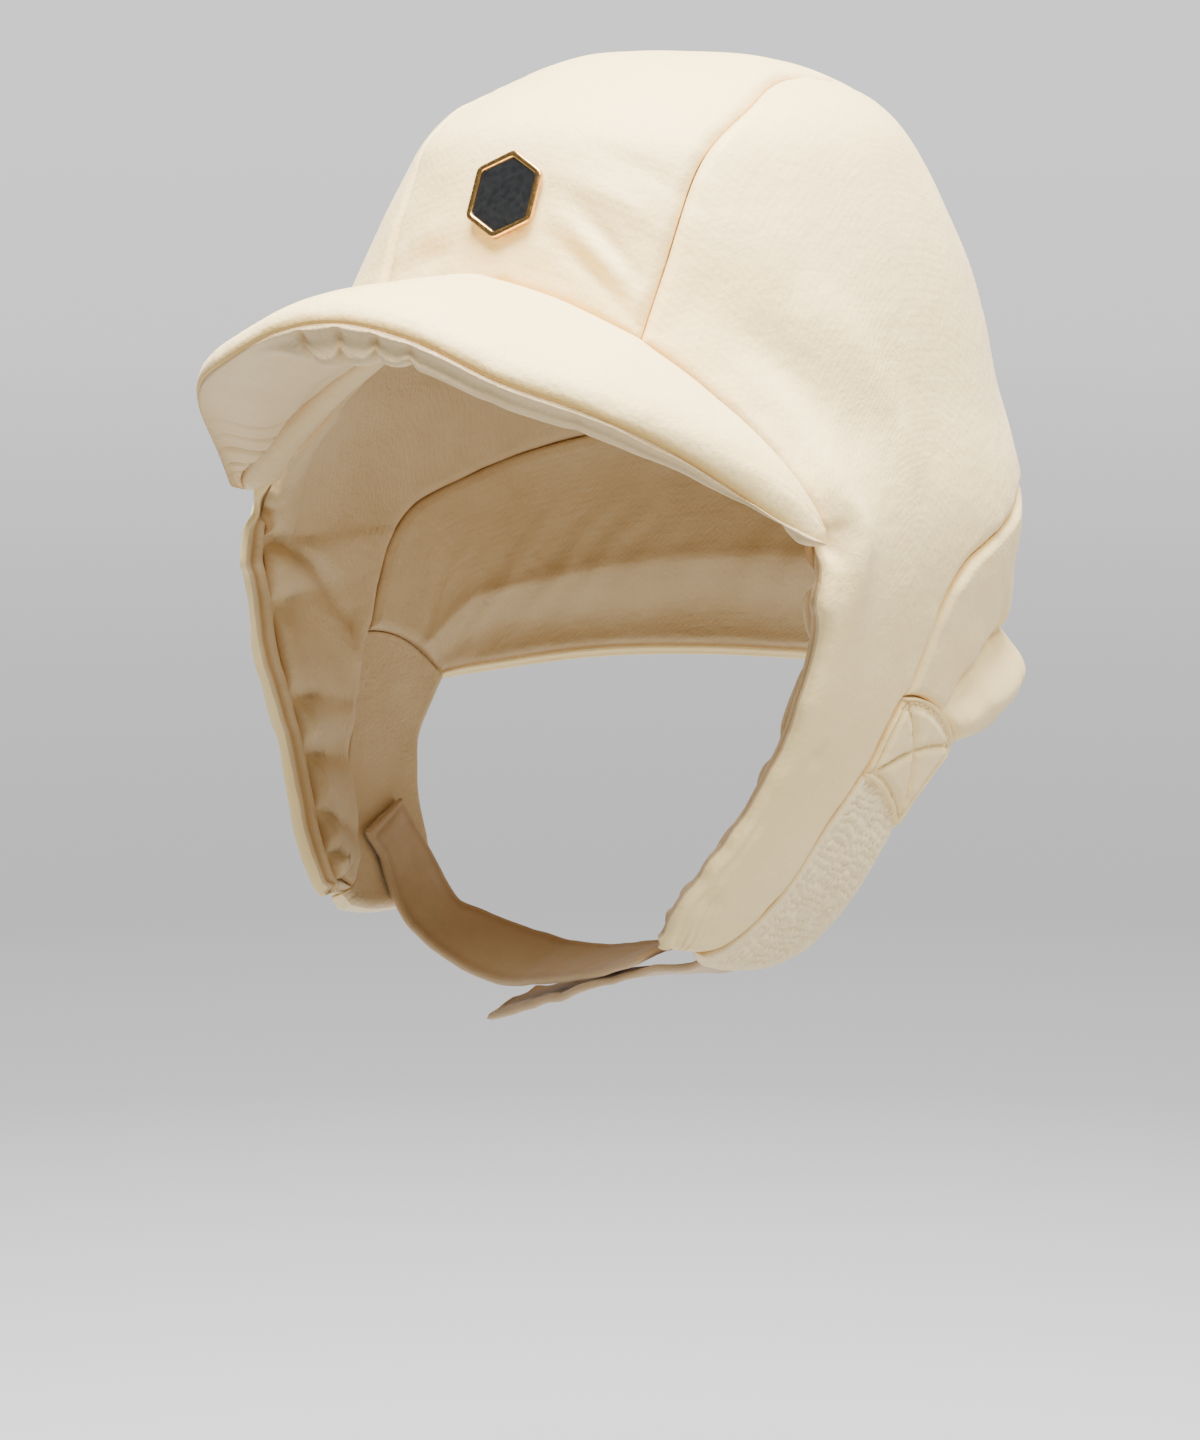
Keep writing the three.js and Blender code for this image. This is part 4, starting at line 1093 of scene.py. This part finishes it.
PATCH_INSET = 0.4 * MM
STITCH_INSET = 2.2 * MM  # patch's stitch lines behind its edges
DOUBLE_STITCH = 1.6 * MM  # first of two grooves beside the neck panel
PATCH_BORDERS = patch_borders()


def cross_distance(panel):
    """Distance of a patch's points to its two crossing stitch lines."""
    over = (panel.left - STITCH_INSET) / (panel.left + panel.right - 2 * STITCH_INSET)
    down = (panel.near - STITCH_INSET) / (panel.near + panel.far - 2 * STITCH_INSET)
    size = np.minimum(panel.left + panel.right, panel.near + panel.far)
    return np.minimum(np.abs(over - down), np.abs(over + down - 1)) * size / math.sqrt(2)


def cross_patch(side, name, seed):
    panel = Panel(PATCH_BORDERS, 56, 60, PATCH_INSET, 0, PATCH_INSET, PATCH_INSET)
    border = np.min([panel.left, panel.right, panel.near, panel.far], axis=0)
    stitches = np.minimum(cross_distance(panel), np.abs(border - STITCH_INSET))
    puff = 1 - hump(stitches, 1.5 * MM)
    crinkle = 0.22 * MM * noise(panel.base, 3 * MM, seed)
    grooves = sum(hump(panel.near - place, 0.8 * MM) for place in (DOUBLE_STITCH, 2.4 * DOUBLE_STITCH))
    upper = -TAPE_DROP + PATCH * (0.35 + 0.95 * puff) + crinkle - 0.8 * MM * grooves
    upper = upper - 0.7 * PATCH * round_over(panel.far, 1.6 * MM)
    sunk = [round_over(edge, 2 * MM) for edge in (panel.near, panel.left, panel.right)]
    upper = upper - 1.6 * MM * np.max(sunk, axis=0)
    lower = -TAPE_DROP - 1.2 * MM + 0 * upper
    faces = panel.faces(np.maximum(upper, lower + 0.3 * MM), lower, side)
    # Painted shade along the stitch lines.
    return layer_piece(name, *faces, SHELL, np.clip(1 - stitches / (0.8 * MM), 0, 1))


# Peak
PEAK_COLUMNS = 220
ROOT_ROWS = 8
PEAK_SEAM = 1.4 * MM  # depth of the groove between the underside and the facing
INNER_SHARE = np.array([1 / 16])  # of a panel, how far in from the border its next points are taken


def border_at(shares):
    """The wall's front border, wearer's right to left, and points further in, at shares of it."""
    border = joined(mirrored(brow)[::-1], forehead, brow)
    brow_end = BROW_SHARE / (BROW_SHARE + CHEEK_SHARE)
    inner_side = patch(SIDE, np.linspace(0, brow_end, 60), INNER_SHARE)[:, 0]
    inner_centre = patch(CENTRE, INNER_SHARE, np.linspace(0, 1, 100))[0]
    spans = [BROW_SHARE, 2 * CENTRE_SHARE, BROW_SHARE]
    inner_lines = [mirrored(inner_side)[::-1], inner_centre, inner_side]
    even = [pick(line, np.linspace(0, 1, span * 20 + 1)) for line, span in zip(inner_lines, spans)]
    return pick(border, shares), pick(joined(*even), shares)


def peak_edge(shares):
    """The peak's front edge at shares of its length."""
    middle = outside(forehead_half[0])
    across = PEAK_EDGE["across"] * HALF_WIDTH
    ahead = middle[1] - PEAK_EDGE["ahead"] * PEAK_REACH
    height = middle[2] - PEAK_EDGE["drop"] * HOOD_HEIGHT
    half = np.stack([across, ahead, height], -1)
    whole = np.concatenate([(half * [-1, 1, 1])[:0:-1], half])
    fine = curve_through(whole)(np.linspace(0, 1, 1200))
    way = lengths_along(fine)
    return on_line(fine, way, np.asarray(shares) * way[-1])


class Peak:
    """Points across the peak from its root to its edge, with the directions of its layers.

    The first rows lie on the front of the hood's wall, from its inner side, deep, out to its face.
    side runs from -1 at the wearer's right to 1, share is the same without its sign, and root goes
    from 1 deep in the wall to 0 at its face."""

    def __init__(self, rows, deep):
        spread = np.linspace(-1, 1, PEAK_COLUMNS + 1)
        shares = 0.5 + 0.5 * spread * (1.25 - 0.25 * spread**2)
        side = 2 * shares - 1
        share = np.abs(side)
        border, inner = border_at(shares)
        out = outward(border)
        outer = outside(border)
        away = outer - outside(inner)
        away = unit(away - out * (away * out).sum(-1, keepdims=True))
        start = outer + away * 0.6 * MM

        closing = np.sqrt(np.clip((1 - share) / PEAK_TIP, 0.01, 1))
        self.full = (1 + (PEAK_END_TAPER - 1) * share**4) * closing
        corner = np.clip((1 - share) / PEAK_CORNER, 0.02, 1)
        reach = (peak_edge(shares) - start) * np.sqrt(1 - (1 - corner) ** 2)[:, None]
        along = peak_edge(np.clip(shares - 0.01, 0, 1)) - peak_edge(np.clip(shares + 0.01, 0, 1))
        under = unit(np.cross(reach, along))
        under = under * np.sign((under * away).sum(-1, keepdims=True))
        blend = (share**6)[:, None]
        under = unit(under * (1 - blend) + away * blend)

        length = np.linalg.norm(reach, axis=-1)[:, None]
        marks = np.array([marks_along(one, rows, 0, 0) for one in length[:, 0]])
        t = marks / length
        bow = PEAK_CROWN * self.full[:, None] ** 2 * (1 - (2 * t - 1) ** 4)
        face = start[:, None] + reach[:, None] * t[..., None] - under[:, None] * bow[..., None]
        lean = np.minimum(1, 2.5 * t)[..., None]
        face_inwards = unit(away[:, None] * (1 - lean) + under[:, None] * lean)

        root = (1 - np.linspace(0, 1, ROOT_ROWS + 1)[:-1]) ** 1.3
        narrowing = np.clip((1 - share) / PEAK_ROOT_TIP, 0.02, 1) ** 0.5
        sunk = deep * narrowing[:, None] * root
        wall = start[:, None] - out[:, None] * sunk[..., None]

        self.place = np.concatenate([wall, face], 1)
        self.inwards = np.concatenate([away[:, None] + 0 * wall, face_inwards], 1)
        self.forward = unit(reach)[:, None] + 0 * self.place
        self.root = np.concatenate([root + 0 * sunk, 0 * marks], 1)
        self.side, self.share = side[:, None] + 0 * self.root, share[:, None] + 0 * self.root
        self.root_way = np.concatenate([-sunk, marks], 1)
        self.root_out = np.maximum(self.root_way, 0)
        self.edge_way = length - self.root_way
        self.along = lengths_along(self.place.transpose(1, 0, 2)).T


def peak_top():
    peak = Peak(70, 0.7 * WALL)
    full = peak.full[:, None]
    thick = PEAK_TOP * full * (1 + 0.25 * np.minimum(peak.root_way, 0) / WALL)
    soft = 0.4 * MM * noise(peak.place, 30 * MM, 101) + 0.15 * MM * noise(peak.place, 11 * MM, 102)
    soft = soft + puckers(peak.edge_way, peak.along, 103, 0.35 * MM, 7 * MM, 8 * MM)
    turn = round_over(peak.edge_way, 4.5 * MM)
    near_end = np.clip((peak.share - 0.35) / 0.3, 0, 1)
    dip = round_over(peak.root_out, 4 * MM) * (0.4 + 0.5 * near_end)
    upper = thick * (0.78 * turn + dip) - soft * np.clip(peak.root_way / (3 * MM), 0, 1)
    lower = thick + 0.3 * MM * full * turn
    points = [peak.place + peak.inwards * height[..., None] for height in (upper, lower)]
    # Painted shade at the root seam, stronger towards the ends, and a thin line at the front edge.
    root_crease_shade = seam_crease_shade([peak.root_out], 2 * MM) * (0.3 + 0.7 * near_end)
    crease_shade = np.maximum(seam_crease_shade([1.7 * peak.edge_way]), root_crease_shade)
    return layer_piece("peak_top_padding", *points, SHELL, crease_shade)


# Pleats pressed into the peak's underside at its front seam: side is the place from the wearer's
# right end, -1, to the left, 1; reach and breadth are millimetres.
PLEATS = table(
    "side breadth reach depth",
    (-0.1, 2.4, 14, 3.4),
    (-0.01, 2.2, 12, 3.4),
    (0.07, 2.2, 11, 3.0),
    (0.14, 2.2, 9, 2.0),
    (0.3, 2.8, 5, 0.4),
    (0.45, 2.6, 5, 0.6),
)

# Creases across the underside near its right end, at a side as above, with millimetres.
PEAK_CREASES = table(
    "side breadth depth",
    (-0.92, 1.0, 1.2), (-0.87, 1.1, 1.8), (-0.81, 1.2, 2.1), (-0.75, 1.1, 1.6), (-0.67, 1.3, 1.1),
)

# Front of the peak's underside: at a distance back from its seam, how far down its face is, as a share
# of the layer, and how far ahead of the seam it stands. The distances are millimetres.
PEAK_FRONT = table(
    "back down ahead",
    (0, 0.02, 0), (0.3, 0.07, 0.9), (0.7, 0.16, 0.9), (1.2, 0.27, 0.1), (1.8, 0.42, -0.1),
    (2.5, 0.58, 0), (3.3, 0.75, 0.7), (4.2, 0.9, 0.4), (5.2, 0.99, -1.0), (9, 1, -6.5), (16, 1, -16),
)


def under_thickness(peak, rolled, near_end):
    """The underside's padding, fullest in the middle and thin at the ends and deep in the wall."""
    full = peak.full[:, None]
    front = np.clip(1 - peak.edge_way / (12 * MM), 0, 1)
    thick = PEAK_UNDER * full * (1 + 0.22 * front * rolled) * (1 + 0.55 * hump(peak.side + 0.02, 0.14))
    thick = thick * (1 - 0.3 * peak.share**4 - 0.3 * near_end)
    across = peak.edge_way / np.maximum(peak.edge_way + peak.root_out, 1 * MM)
    belly = 6 * MM * np.clip((0.15 - peak.side) / 0.25, 0, 1)
    thick = thick + belly * full * 4 * across * (1 - across) * (1 - peak.root)
    return thick * np.sqrt(np.clip(1 - peak.root**3, 0.004, 1))


def under_pleats(peak, length):
    """How deep the underside's pleats and creases are, and how much painted shade lies in them."""
    sunk, pleat_shade = 0, 0
    for side, breadth, reach, depth in rows_of(PLEATS):
        across = hump((peak.side - side) * length / 2 - 0.5 * peak.edge_way, breadth * MM)
        below = hump(peak.edge_way - 3 * MM, reach * MM) * (1 - hump(peak.edge_way, 1.2 * MM))
        sunk = sunk + depth * MM * across * below
        pleat_shade = np.maximum(pleat_shade, 0.25 * depth * across**3 * below)
    share = np.clip(peak.edge_way / (peak.edge_way + peak.root_out), 0, 1)
    middle = np.clip(1.6 * np.sin(math.pi * share), 0, 1)
    for side, breadth, depth in rows_of(PEAK_CREASES):
        bent = (peak.side - side) * length / 2 + 2 * MM * noise(peak.place, 16 * MM, 113)
        line = hump(bent, breadth * MM) - 0.35 * hump(bent, 2.5 * breadth * MM)
        sunk = sunk + depth * MM * line * middle * (1 - peak.root)
        pleat_shade = np.maximum(pleat_shade, 0.25 * depth * hump(bent, 0.7 * breadth * MM) * middle)
    return sunk, pleat_shade


def peak_under():
    """The peak's underside: rolled to a full front at the wearer's left, plainly curved at the right."""
    peak = Peak(90, WALL)
    full = peak.full[:, None]
    length = peak.along[-1].max()
    rolled = np.clip((peak.side + 0.3) / 0.25, 0, 1)
    near_end = rolled * np.clip((peak.share - 0.5) / 0.45, 0, 1)
    back = peak.edge_way / MM
    plain = 0.1 + 0.9 * np.sin(0.5 * math.pi * np.clip(back / 21, 0, 1))
    down = plain + (profile(PEAK_FRONT["back"], PEAK_FRONT["down"])(back) - plain) * rolled
    ahead = profile(PEAK_FRONT["back"], PEAK_FRONT["ahead"])(back) + np.minimum(back, 16)
    ahead = ahead * MM * full * rolled
    gathers = strip_noise(peak.side * length / 2, peak.edge_way, 5.5 * MM, 6, 111)
    gathers = gathers * (0.3 + 1.1 * peak.share**2) * (1 - 0.8 * near_end) * np.clip(back / 12, 0, 1)
    fade = (1 - np.exp(-peak.root_out / (2 * MM))) * (0.25 + np.exp(-peak.root_out / (16 * MM)))
    soft = 0.5 * MM * noise(peak.place, 17 * MM, 112) * np.clip(peak.root_way / (6 * MM), 0, 1)
    sunk, pleat_shade = under_pleats(peak, length)
    upper = (PEAK_TOP + LAYER_GAP) * full * np.clip((1 - peak.root) / 0.25, 0.06, 1)
    lower = upper + under_thickness(peak, rolled, near_end) * down + 0.9 * MM * gathers * fade + soft
    lower = lower - sunk - PEAK_SEAM * full * hump(peak.root_way, 1.8 * MM)
    lower = np.maximum(lower, upper + 0.2 * MM * full)
    points = [
        peak.place + peak.inwards * height[..., None] + peak.forward * forward[..., None]
        for height, forward in ((upper, 0 * ahead), (lower, ahead))
    ]
    # Painted shade at the root seam, along the front edge and in the pleats.
    seams = [0.8 * hump(peak.root_way, 0.8 * MM), 0.5 * hump(peak.edge_way, 0.2 * MM)]
    crease_shade = np.max([*seams, pleat_shade], axis=0)
    return layer_piece("peak_underside_padding", *points, SHADED_FACING_CLOTH, crease_shade)


# Chin straps
STRAP_HALF_MARKS = np.array([0.3, 0.6, 0.82, 0.9, 0.95, 0.985, 1])
STRAP_MARKS = np.concatenate([-STRAP_HALF_MARKS[::-1], [0], STRAP_HALF_MARKS])


def strap_grid(side, turn, route, width, steps):
    """A strap's middle surface, its up direction and its distances to its edges."""
    under = SEAM_DIP + TAPE_WALL + STRAP_SEAT + STRAP / 2
    stations, acrosses = [], []
    for depth in STRAP_SEAT_DEPTHS:
        point = chart_point(turn, depth)
        stations.append((outside(point) - outward(point) * under) * [side, 1, 1])
        acrosses.append(unit(outside(chart_point(turn + 1, depth)) - outside(point)) * [side, 1, 1])
    for across, ahead, depth, lean in rows_of(route):
        stations.append([across * HALF_WIDTH, -ahead * FRONT_REACH, WALL - depth * HOOD_HEIGHT])
        acrosses.append([0, math.cos(math.radians(lean)), math.sin(math.radians(lean))])
    shares = np.linspace(0, 1, steps + 1)
    line = curve_through(stations)
    place = line(shares)
    ahead = unit(line(np.minimum(shares + 0.002, 1)) - line(np.maximum(shares - 0.002, 0)))
    marks = np.arange(len(stations))
    turning = [profile(marks, column) for column in np.array(acrosses).T]
    across = np.stack([part(shares * marks[-1]) for part in turning], -1)
    across = unit(across - ahead * (across * ahead).sum(-1, keepdims=True))
    up = unit(np.cross(across, ahead)) * side
    over = STRAP_MARKS * width / 2
    middle = place[:, None] + across[:, None] * over[None, :, None]
    return middle, up[:, None], np.abs(over)[None] + 0 * middle[..., 0], lengths_along(place)


def strap_piece(side, turn, route, width, name, seed):
    middle, up, over, way = strap_grid(side, turn, route, width, 150)
    edge = np.minimum(width / 2 - over, np.minimum(way, way[-1] - way)[:, None])
    half = STRAP / 2 * np.sqrt(np.clip(1 - (1 - np.clip(edge / (1.2 * MM), 0, 1)) ** 2, 0.02, 1))
    half = half - 0.3 * MM * hump(edge - 3 * MM, 0.7 * MM)
    wave = 0.9 * MM * noise(middle, 20 * MM, seed) + 0.5 * MM * noise(middle, 7 * MM, seed + 1)
    points = [middle + up * (wave + face * half)[..., None] for face in (1, -1)]
    # Painted shade in the groove beside each edge.
    crease_shade = 0.7 * hump(edge - 3 * MM, 0.5 * MM)
    return layer_piece(name, *points, SHADED_STRAP_CLOTH, crease_shade), way[-1]


# Badge: a plain upright six-sided plate
SHOULDER = 0.55


def badge_outline(inset):
    width = BADGE_WIDTH / 2 - inset
    height = BADGE_HEIGHT / 2 - inset * 1.2
    corner = SHOULDER * BADGE_HEIGHT / 2 - inset * 0.5
    right = np.array([(0, -height), (width, -corner), (width, corner)])
    return np.concatenate([right, -right])


def rounded(outline, radius=1.6 * MM, steps=5):
    """An outline with its corners turned in arcs."""
    points = []
    for before, corner, after in zip(np.roll(outline, 1, 0), outline, np.roll(outline, -1, 0)):
        start = corner + unit(before - corner) * radius
        end = corner + unit(after - corner) * radius
        for t in np.linspace(0, 1, steps):
            points.append((1 - t) ** 2 * start + 2 * t * (1 - t) * corner + t**2 * end)
    return np.array(points)


def badge_frame():
    out = outward(BADGE_PLACE)
    up = unit(np.array([0, 0, 1]) - out * out[2])
    return outside(BADGE_PLACE) + out * BADGE_LIFT, np.cross(up, out), up, out


def badge_piece(name, rings, filled, material):
    """A plate from rings of (inset, height): filled to its middle at both ends, or closed as a loop."""
    origin, side, up, out = badge_frame()
    verts = []
    for inset, height in rings:
        flat = rounded(badge_outline(inset), max(1.6 * MM - inset * 0.4, 0.5 * MM))
        verts.append(origin + flat[:, :1] * side + flat[:, 1:] * up + height * out)
    count = len(verts[0])
    index = np.arange(count * len(rings)).reshape(len(rings), count)
    if not filled:
        index = np.concatenate([index, index[:1]])
    nexts = np.roll(index, -1, axis=1)
    quads = np.stack([index[:-1], index[1:], nexts[1:], nexts[:-1]], -1)
    faces = quads.reshape(-1, 4).tolist()
    verts = np.concatenate(verts)
    if filled:
        tip, foot = len(verts), len(verts) + 1
        middles = [verts[index[end]].mean(0) for end in (-1, 0)]
        verts = np.concatenate([verts, middles])
        faces += [[a, tip, b] for a, b in zip(index[-1].tolist(), nexts[-1].tolist())]
        faces += [[b, foot, a] for a, b in zip(index[0].tolist(), nexts[0].tolist())]
    return new_piece(name, verts, faces, material)


def squared(value):
    """A sine or cosine value, drawn out towards 1 or -1."""
    return np.sign(value) * abs(value) ** 0.6


def badge_rim():
    half = BADGE_RIM / 2
    rings = [
        (half - half * squared(math.cos(angle)), BADGE_DEPTH / 2 * (1 + squared(math.sin(angle))))
        for angle in np.linspace(0, 2 * math.pi, 17)[:-1]
    ]
    return badge_piece("badge_rim_metal", rings, False, gold_material())


def badge_enamel():
    inner = BADGE_RIM - 0.15 * MM
    top = BADGE_DEPTH - ENAMEL_DROP
    dome = ((0, 0.35), (0.15, 0.16), (0.4, 0.05), (0.8, 0), (3, 0))
    rings = [(inner, 0.2 * MM)] + [(inner + further * MM, top - drop * MM) for further, drop in dome]
    return badge_piece("badge_enamel_dome", rings, True, enamel_material())


# Stitches
THREAD_WIDTH = 0.4 * MM
STITCH_SIDES = 6
STITCH_RINGS = 6
STITCH_REACH = (0.07, 0.93)  # the patch's stitched border, as shares of its sides


def stitch_line(points, normals, length=2.6 * MM, gap=0.9 * MM):
    """Threads along a line on a surface, each sinking into the cloth at its ends."""
    way = lengths_along(points)
    t = np.linspace(-1, 1, STITCH_RINGS)
    turns = np.linspace(0, 2 * math.pi, STITCH_SIDES + 1)[:-1]
    verts, faces = [], []
    for k in range(max(int(way[-1] / (length + gap)), 1)):
        at = np.linspace(0, length, STITCH_RINGS) + k * (length + gap) + gap / 2
        place = on_line(points, way, at)
        up = unit(on_line(normals, way, at))
        across = unit(np.cross(unit(np.gradient(place, axis=0)), up))
        place = place + up * (THREAD_WIDTH * (0.35 - 0.75 * t**4))[:, None]
        radius = THREAD_WIDTH / 2 * np.sqrt(1.15 - t**2)
        ring = np.cos(turns)[:, None, None] * across + np.sin(turns)[:, None, None] * up
        index = k * STITCH_SIDES * STITCH_RINGS + np.arange(STITCH_SIDES * STITCH_RINGS)
        index = index.reshape(STITCH_SIDES, STITCH_RINGS)
        nexts = np.roll(index, -1, axis=0)
        quads = np.stack([index[:, :-1], index[:, 1:], nexts[:, 1:], nexts[:, :-1]], -1)
        verts.append((place + ring * radius[:, None]).reshape(-1, 3))
        faces += quads.reshape(-1, 4).tolist() + [index[::-1, 0].tolist(), index[:, -1].tolist()]
    return np.concatenate(verts), faces


def stitches(name, lines):
    """One piece of all the stitches along some lines of (points, normals)."""
    verts, faces = np.empty((0, 3)), []
    for points, normals in lines:
        new_verts, new_faces = stitch_line(points, normals)
        faces += [[corner + len(verts) for corner in face] for face in new_faces]
        verts = np.concatenate([verts, new_verts])
    return new_piece(name, verts, faces, THREAD, verts)


def patch_stitches(side, name):
    """Border and crossing stitch lines of a patch."""
    shares = np.linspace(*STITCH_REACH, 40)
    low, high = (np.full(40, end) for end in STITCH_REACH)
    lines = []
    for us, vs in (
        (low, shares), (high, shares), (shares, low), (shares, high), (shares, shares), (shares, 1 - shares)
    ):
        chart = patch(PATCH_BORDERS, us, vs)[range(40), range(40)]
        normals = outward(chart)
        points = outside(chart) + normals * (0.42 * PATCH - TAPE_DROP)
        lines.append((points * [side, 1, 1], normals * [side, 1, 1]))
    return stitches(name, lines)


# Stage
FLOOR = -0.8
FLOOR_SIZE = 300
LIGHT_AIM = Vector((0, 0, -0.12))


def by_distance(shader, distance, marks, colours):
    """A colour that runs through `colours` at distances `marks`."""
    ramp = shader.node("ShaderNodeValToRGB", Fac=shader.spread(distance, 0, marks[-1]))
    stops = ramp.color_ramp.elements
    stops[0].color, stops[-1].color = colours[0], colours[-1]
    for mark, colour in zip(marks[1:-1], colours[1:-1]):
        stops.new(mark / marks[-1]).color = colour
    return ramp.outputs["Color"]


def grey(value):
    return (value, value, 1.01 * value, 1)


def add_glowing_floor():
    """A pale floor that glows with painted light, in a gradient by distance, standing in for a softly lit
    backdrop further away.
    """
    shader = Shader("floor")
    distance = shader.node("ShaderNodeVectorMath", operation="LENGTH", Vector=shader.here())
    marks = (0, 0.8, 1.3, 1.6, 1.9, 2.4, 3.1, 4.7, 6.6, 12)
    # Painted light: the floor's colour and its glow both change with distance to paint the backdrop's
    # brightness.
    for target, values in (
        ("Base Color", (0.2, 0.2, 0.2, 0.15, 0.1, 0.1, 0.1, 0.1, 0.1, 0.1)),
        ("Emission Color", (0, 0.2, 1.1, 0.88, 0.62, 0.5, 0.6, 0.83, 1.0, 1.08)),
    ):
        colours = [grey(value) for value in values]
        shader.set(target, by_distance(shader, distance.outputs["Value"], marks, colours))
    shader.set("Emission Strength", 1.0)
    shader.set("Roughness", 0.9)
    shader.set("Specular IOR Level", 0.1)
    corners = [(x * FLOOR_SIZE, y * FLOOR_SIZE, FLOOR) for x, y in ((-1, -1), (1, -1), (1, 1), (-1, 1))]
    new_piece("floor", corners, [(0, 1, 2, 3)], shader.material)


def add_light(name, place, size, watts, colour):
    data = bpy.data.lights.new(name, "AREA")
    data.shape = "DISK"
    data.size = size
    data.energy = watts
    data.color = colour
    light = bpy.data.objects.new(name, data)
    light.location = place
    light.rotation_euler = (LIGHT_AIM - light.location).to_track_quat("-Z", "Y").to_euler()
    bpy.context.collection.objects.link(light)


def add_lights():
    add_light("overhead", (0, -0.1, 2.2), 1.5, 370, (1.0, 0.985, 0.955))
    add_light("side", (1.4, -0.3, 1.9), 1.2, 80, (1.0, 0.985, 0.955))
    world = bpy.data.worlds.new("studio")
    world.use_nodes = True
    ground = world.node_tree.nodes["Background"]
    ground.inputs["Color"].default_value = grey(0.9)
    ground.inputs["Strength"].default_value = 0.2
    bpy.context.scene.world = world


add_glowing_floor()
add_lights()


def settle(piece, slot, *nodes):
    """Rides a piece on the cap's body, in place of its solid if it has one."""
    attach(piece, "root")
    if nodes:
        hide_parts(*nodes)
    return piece


SIDES = ((1, "left", 30), (-1, "right", 40))

for piece, node in (
    (crown_centre(), "crown_centre"), (neck_panel(), "neck_panel"), (peak_top(), "peak_top"),
):
    settle(piece, "shell_fabric", node)
settle(peak_under(), "lining_fabric", "peak_underside")


def cloth_sheet(piece, slot, node):
    """Rides a lining or patch on the cap's body in place of its solid, and reads its cloth coordinates."""
    settle(piece, slot, node)
    mesh = piece.data
    cloth = np.empty(len(mesh.vertices) * 3)
    mesh.attributes["cloth"].data.foreach_get("vector", cloth)


cloth_sheet(lining_centre(), "lining_fabric", "lining_centre")
cloth_sheet(lining_neck(), "lining_fabric", "lining_neck")
for side, name, seed in SIDES:
    panel = side_panel(side, f"side_panel_{name}_padding", seed)
    settle(panel, "shell_fabric", f"side_panel_{name}")
    tape = tape_panel(side, f"tape_panel_{name}_loops", seed + 100)
    settle(tape, "loop_tape", f"tape_panel_{name}")
    lining = lining_side(side, f"lining_side_{name}_cloth", seed + 50)
    cloth_sheet(lining, "lining_fabric", f"lining_side_{name}")
    cross = cross_patch(side, f"cross_patch_{name}_cloth", seed + 60)
    cloth_sheet(cross, "shell_fabric", f"cross_patch_{name}")
    settle(patch_stitches(side, f"cross_patch_{name}_thread"), "shell_fabric")

for side, name, turn, route, width in (
    (-1, "right", STRAP_RIGHT_TURN, STRAP_RIGHT_ROUTE, STRAP_RIGHT_WIDTH),
    (1, "left", STRAP_LEFT_TURN, STRAP_LEFT_ROUTE, STRAP_LEFT_WIDTH),
):
    strap, length = strap_piece(side, turn, route, width, f"chin_strap_{name}_cloth", 120 + side)
    settle(strap, "strap_fabric", f"chin_strap_{name}")

settle(badge_rim(), "badge_gold", "badge_rim")
settle(badge_enamel(), "badge_enamel", "badge_enamel")
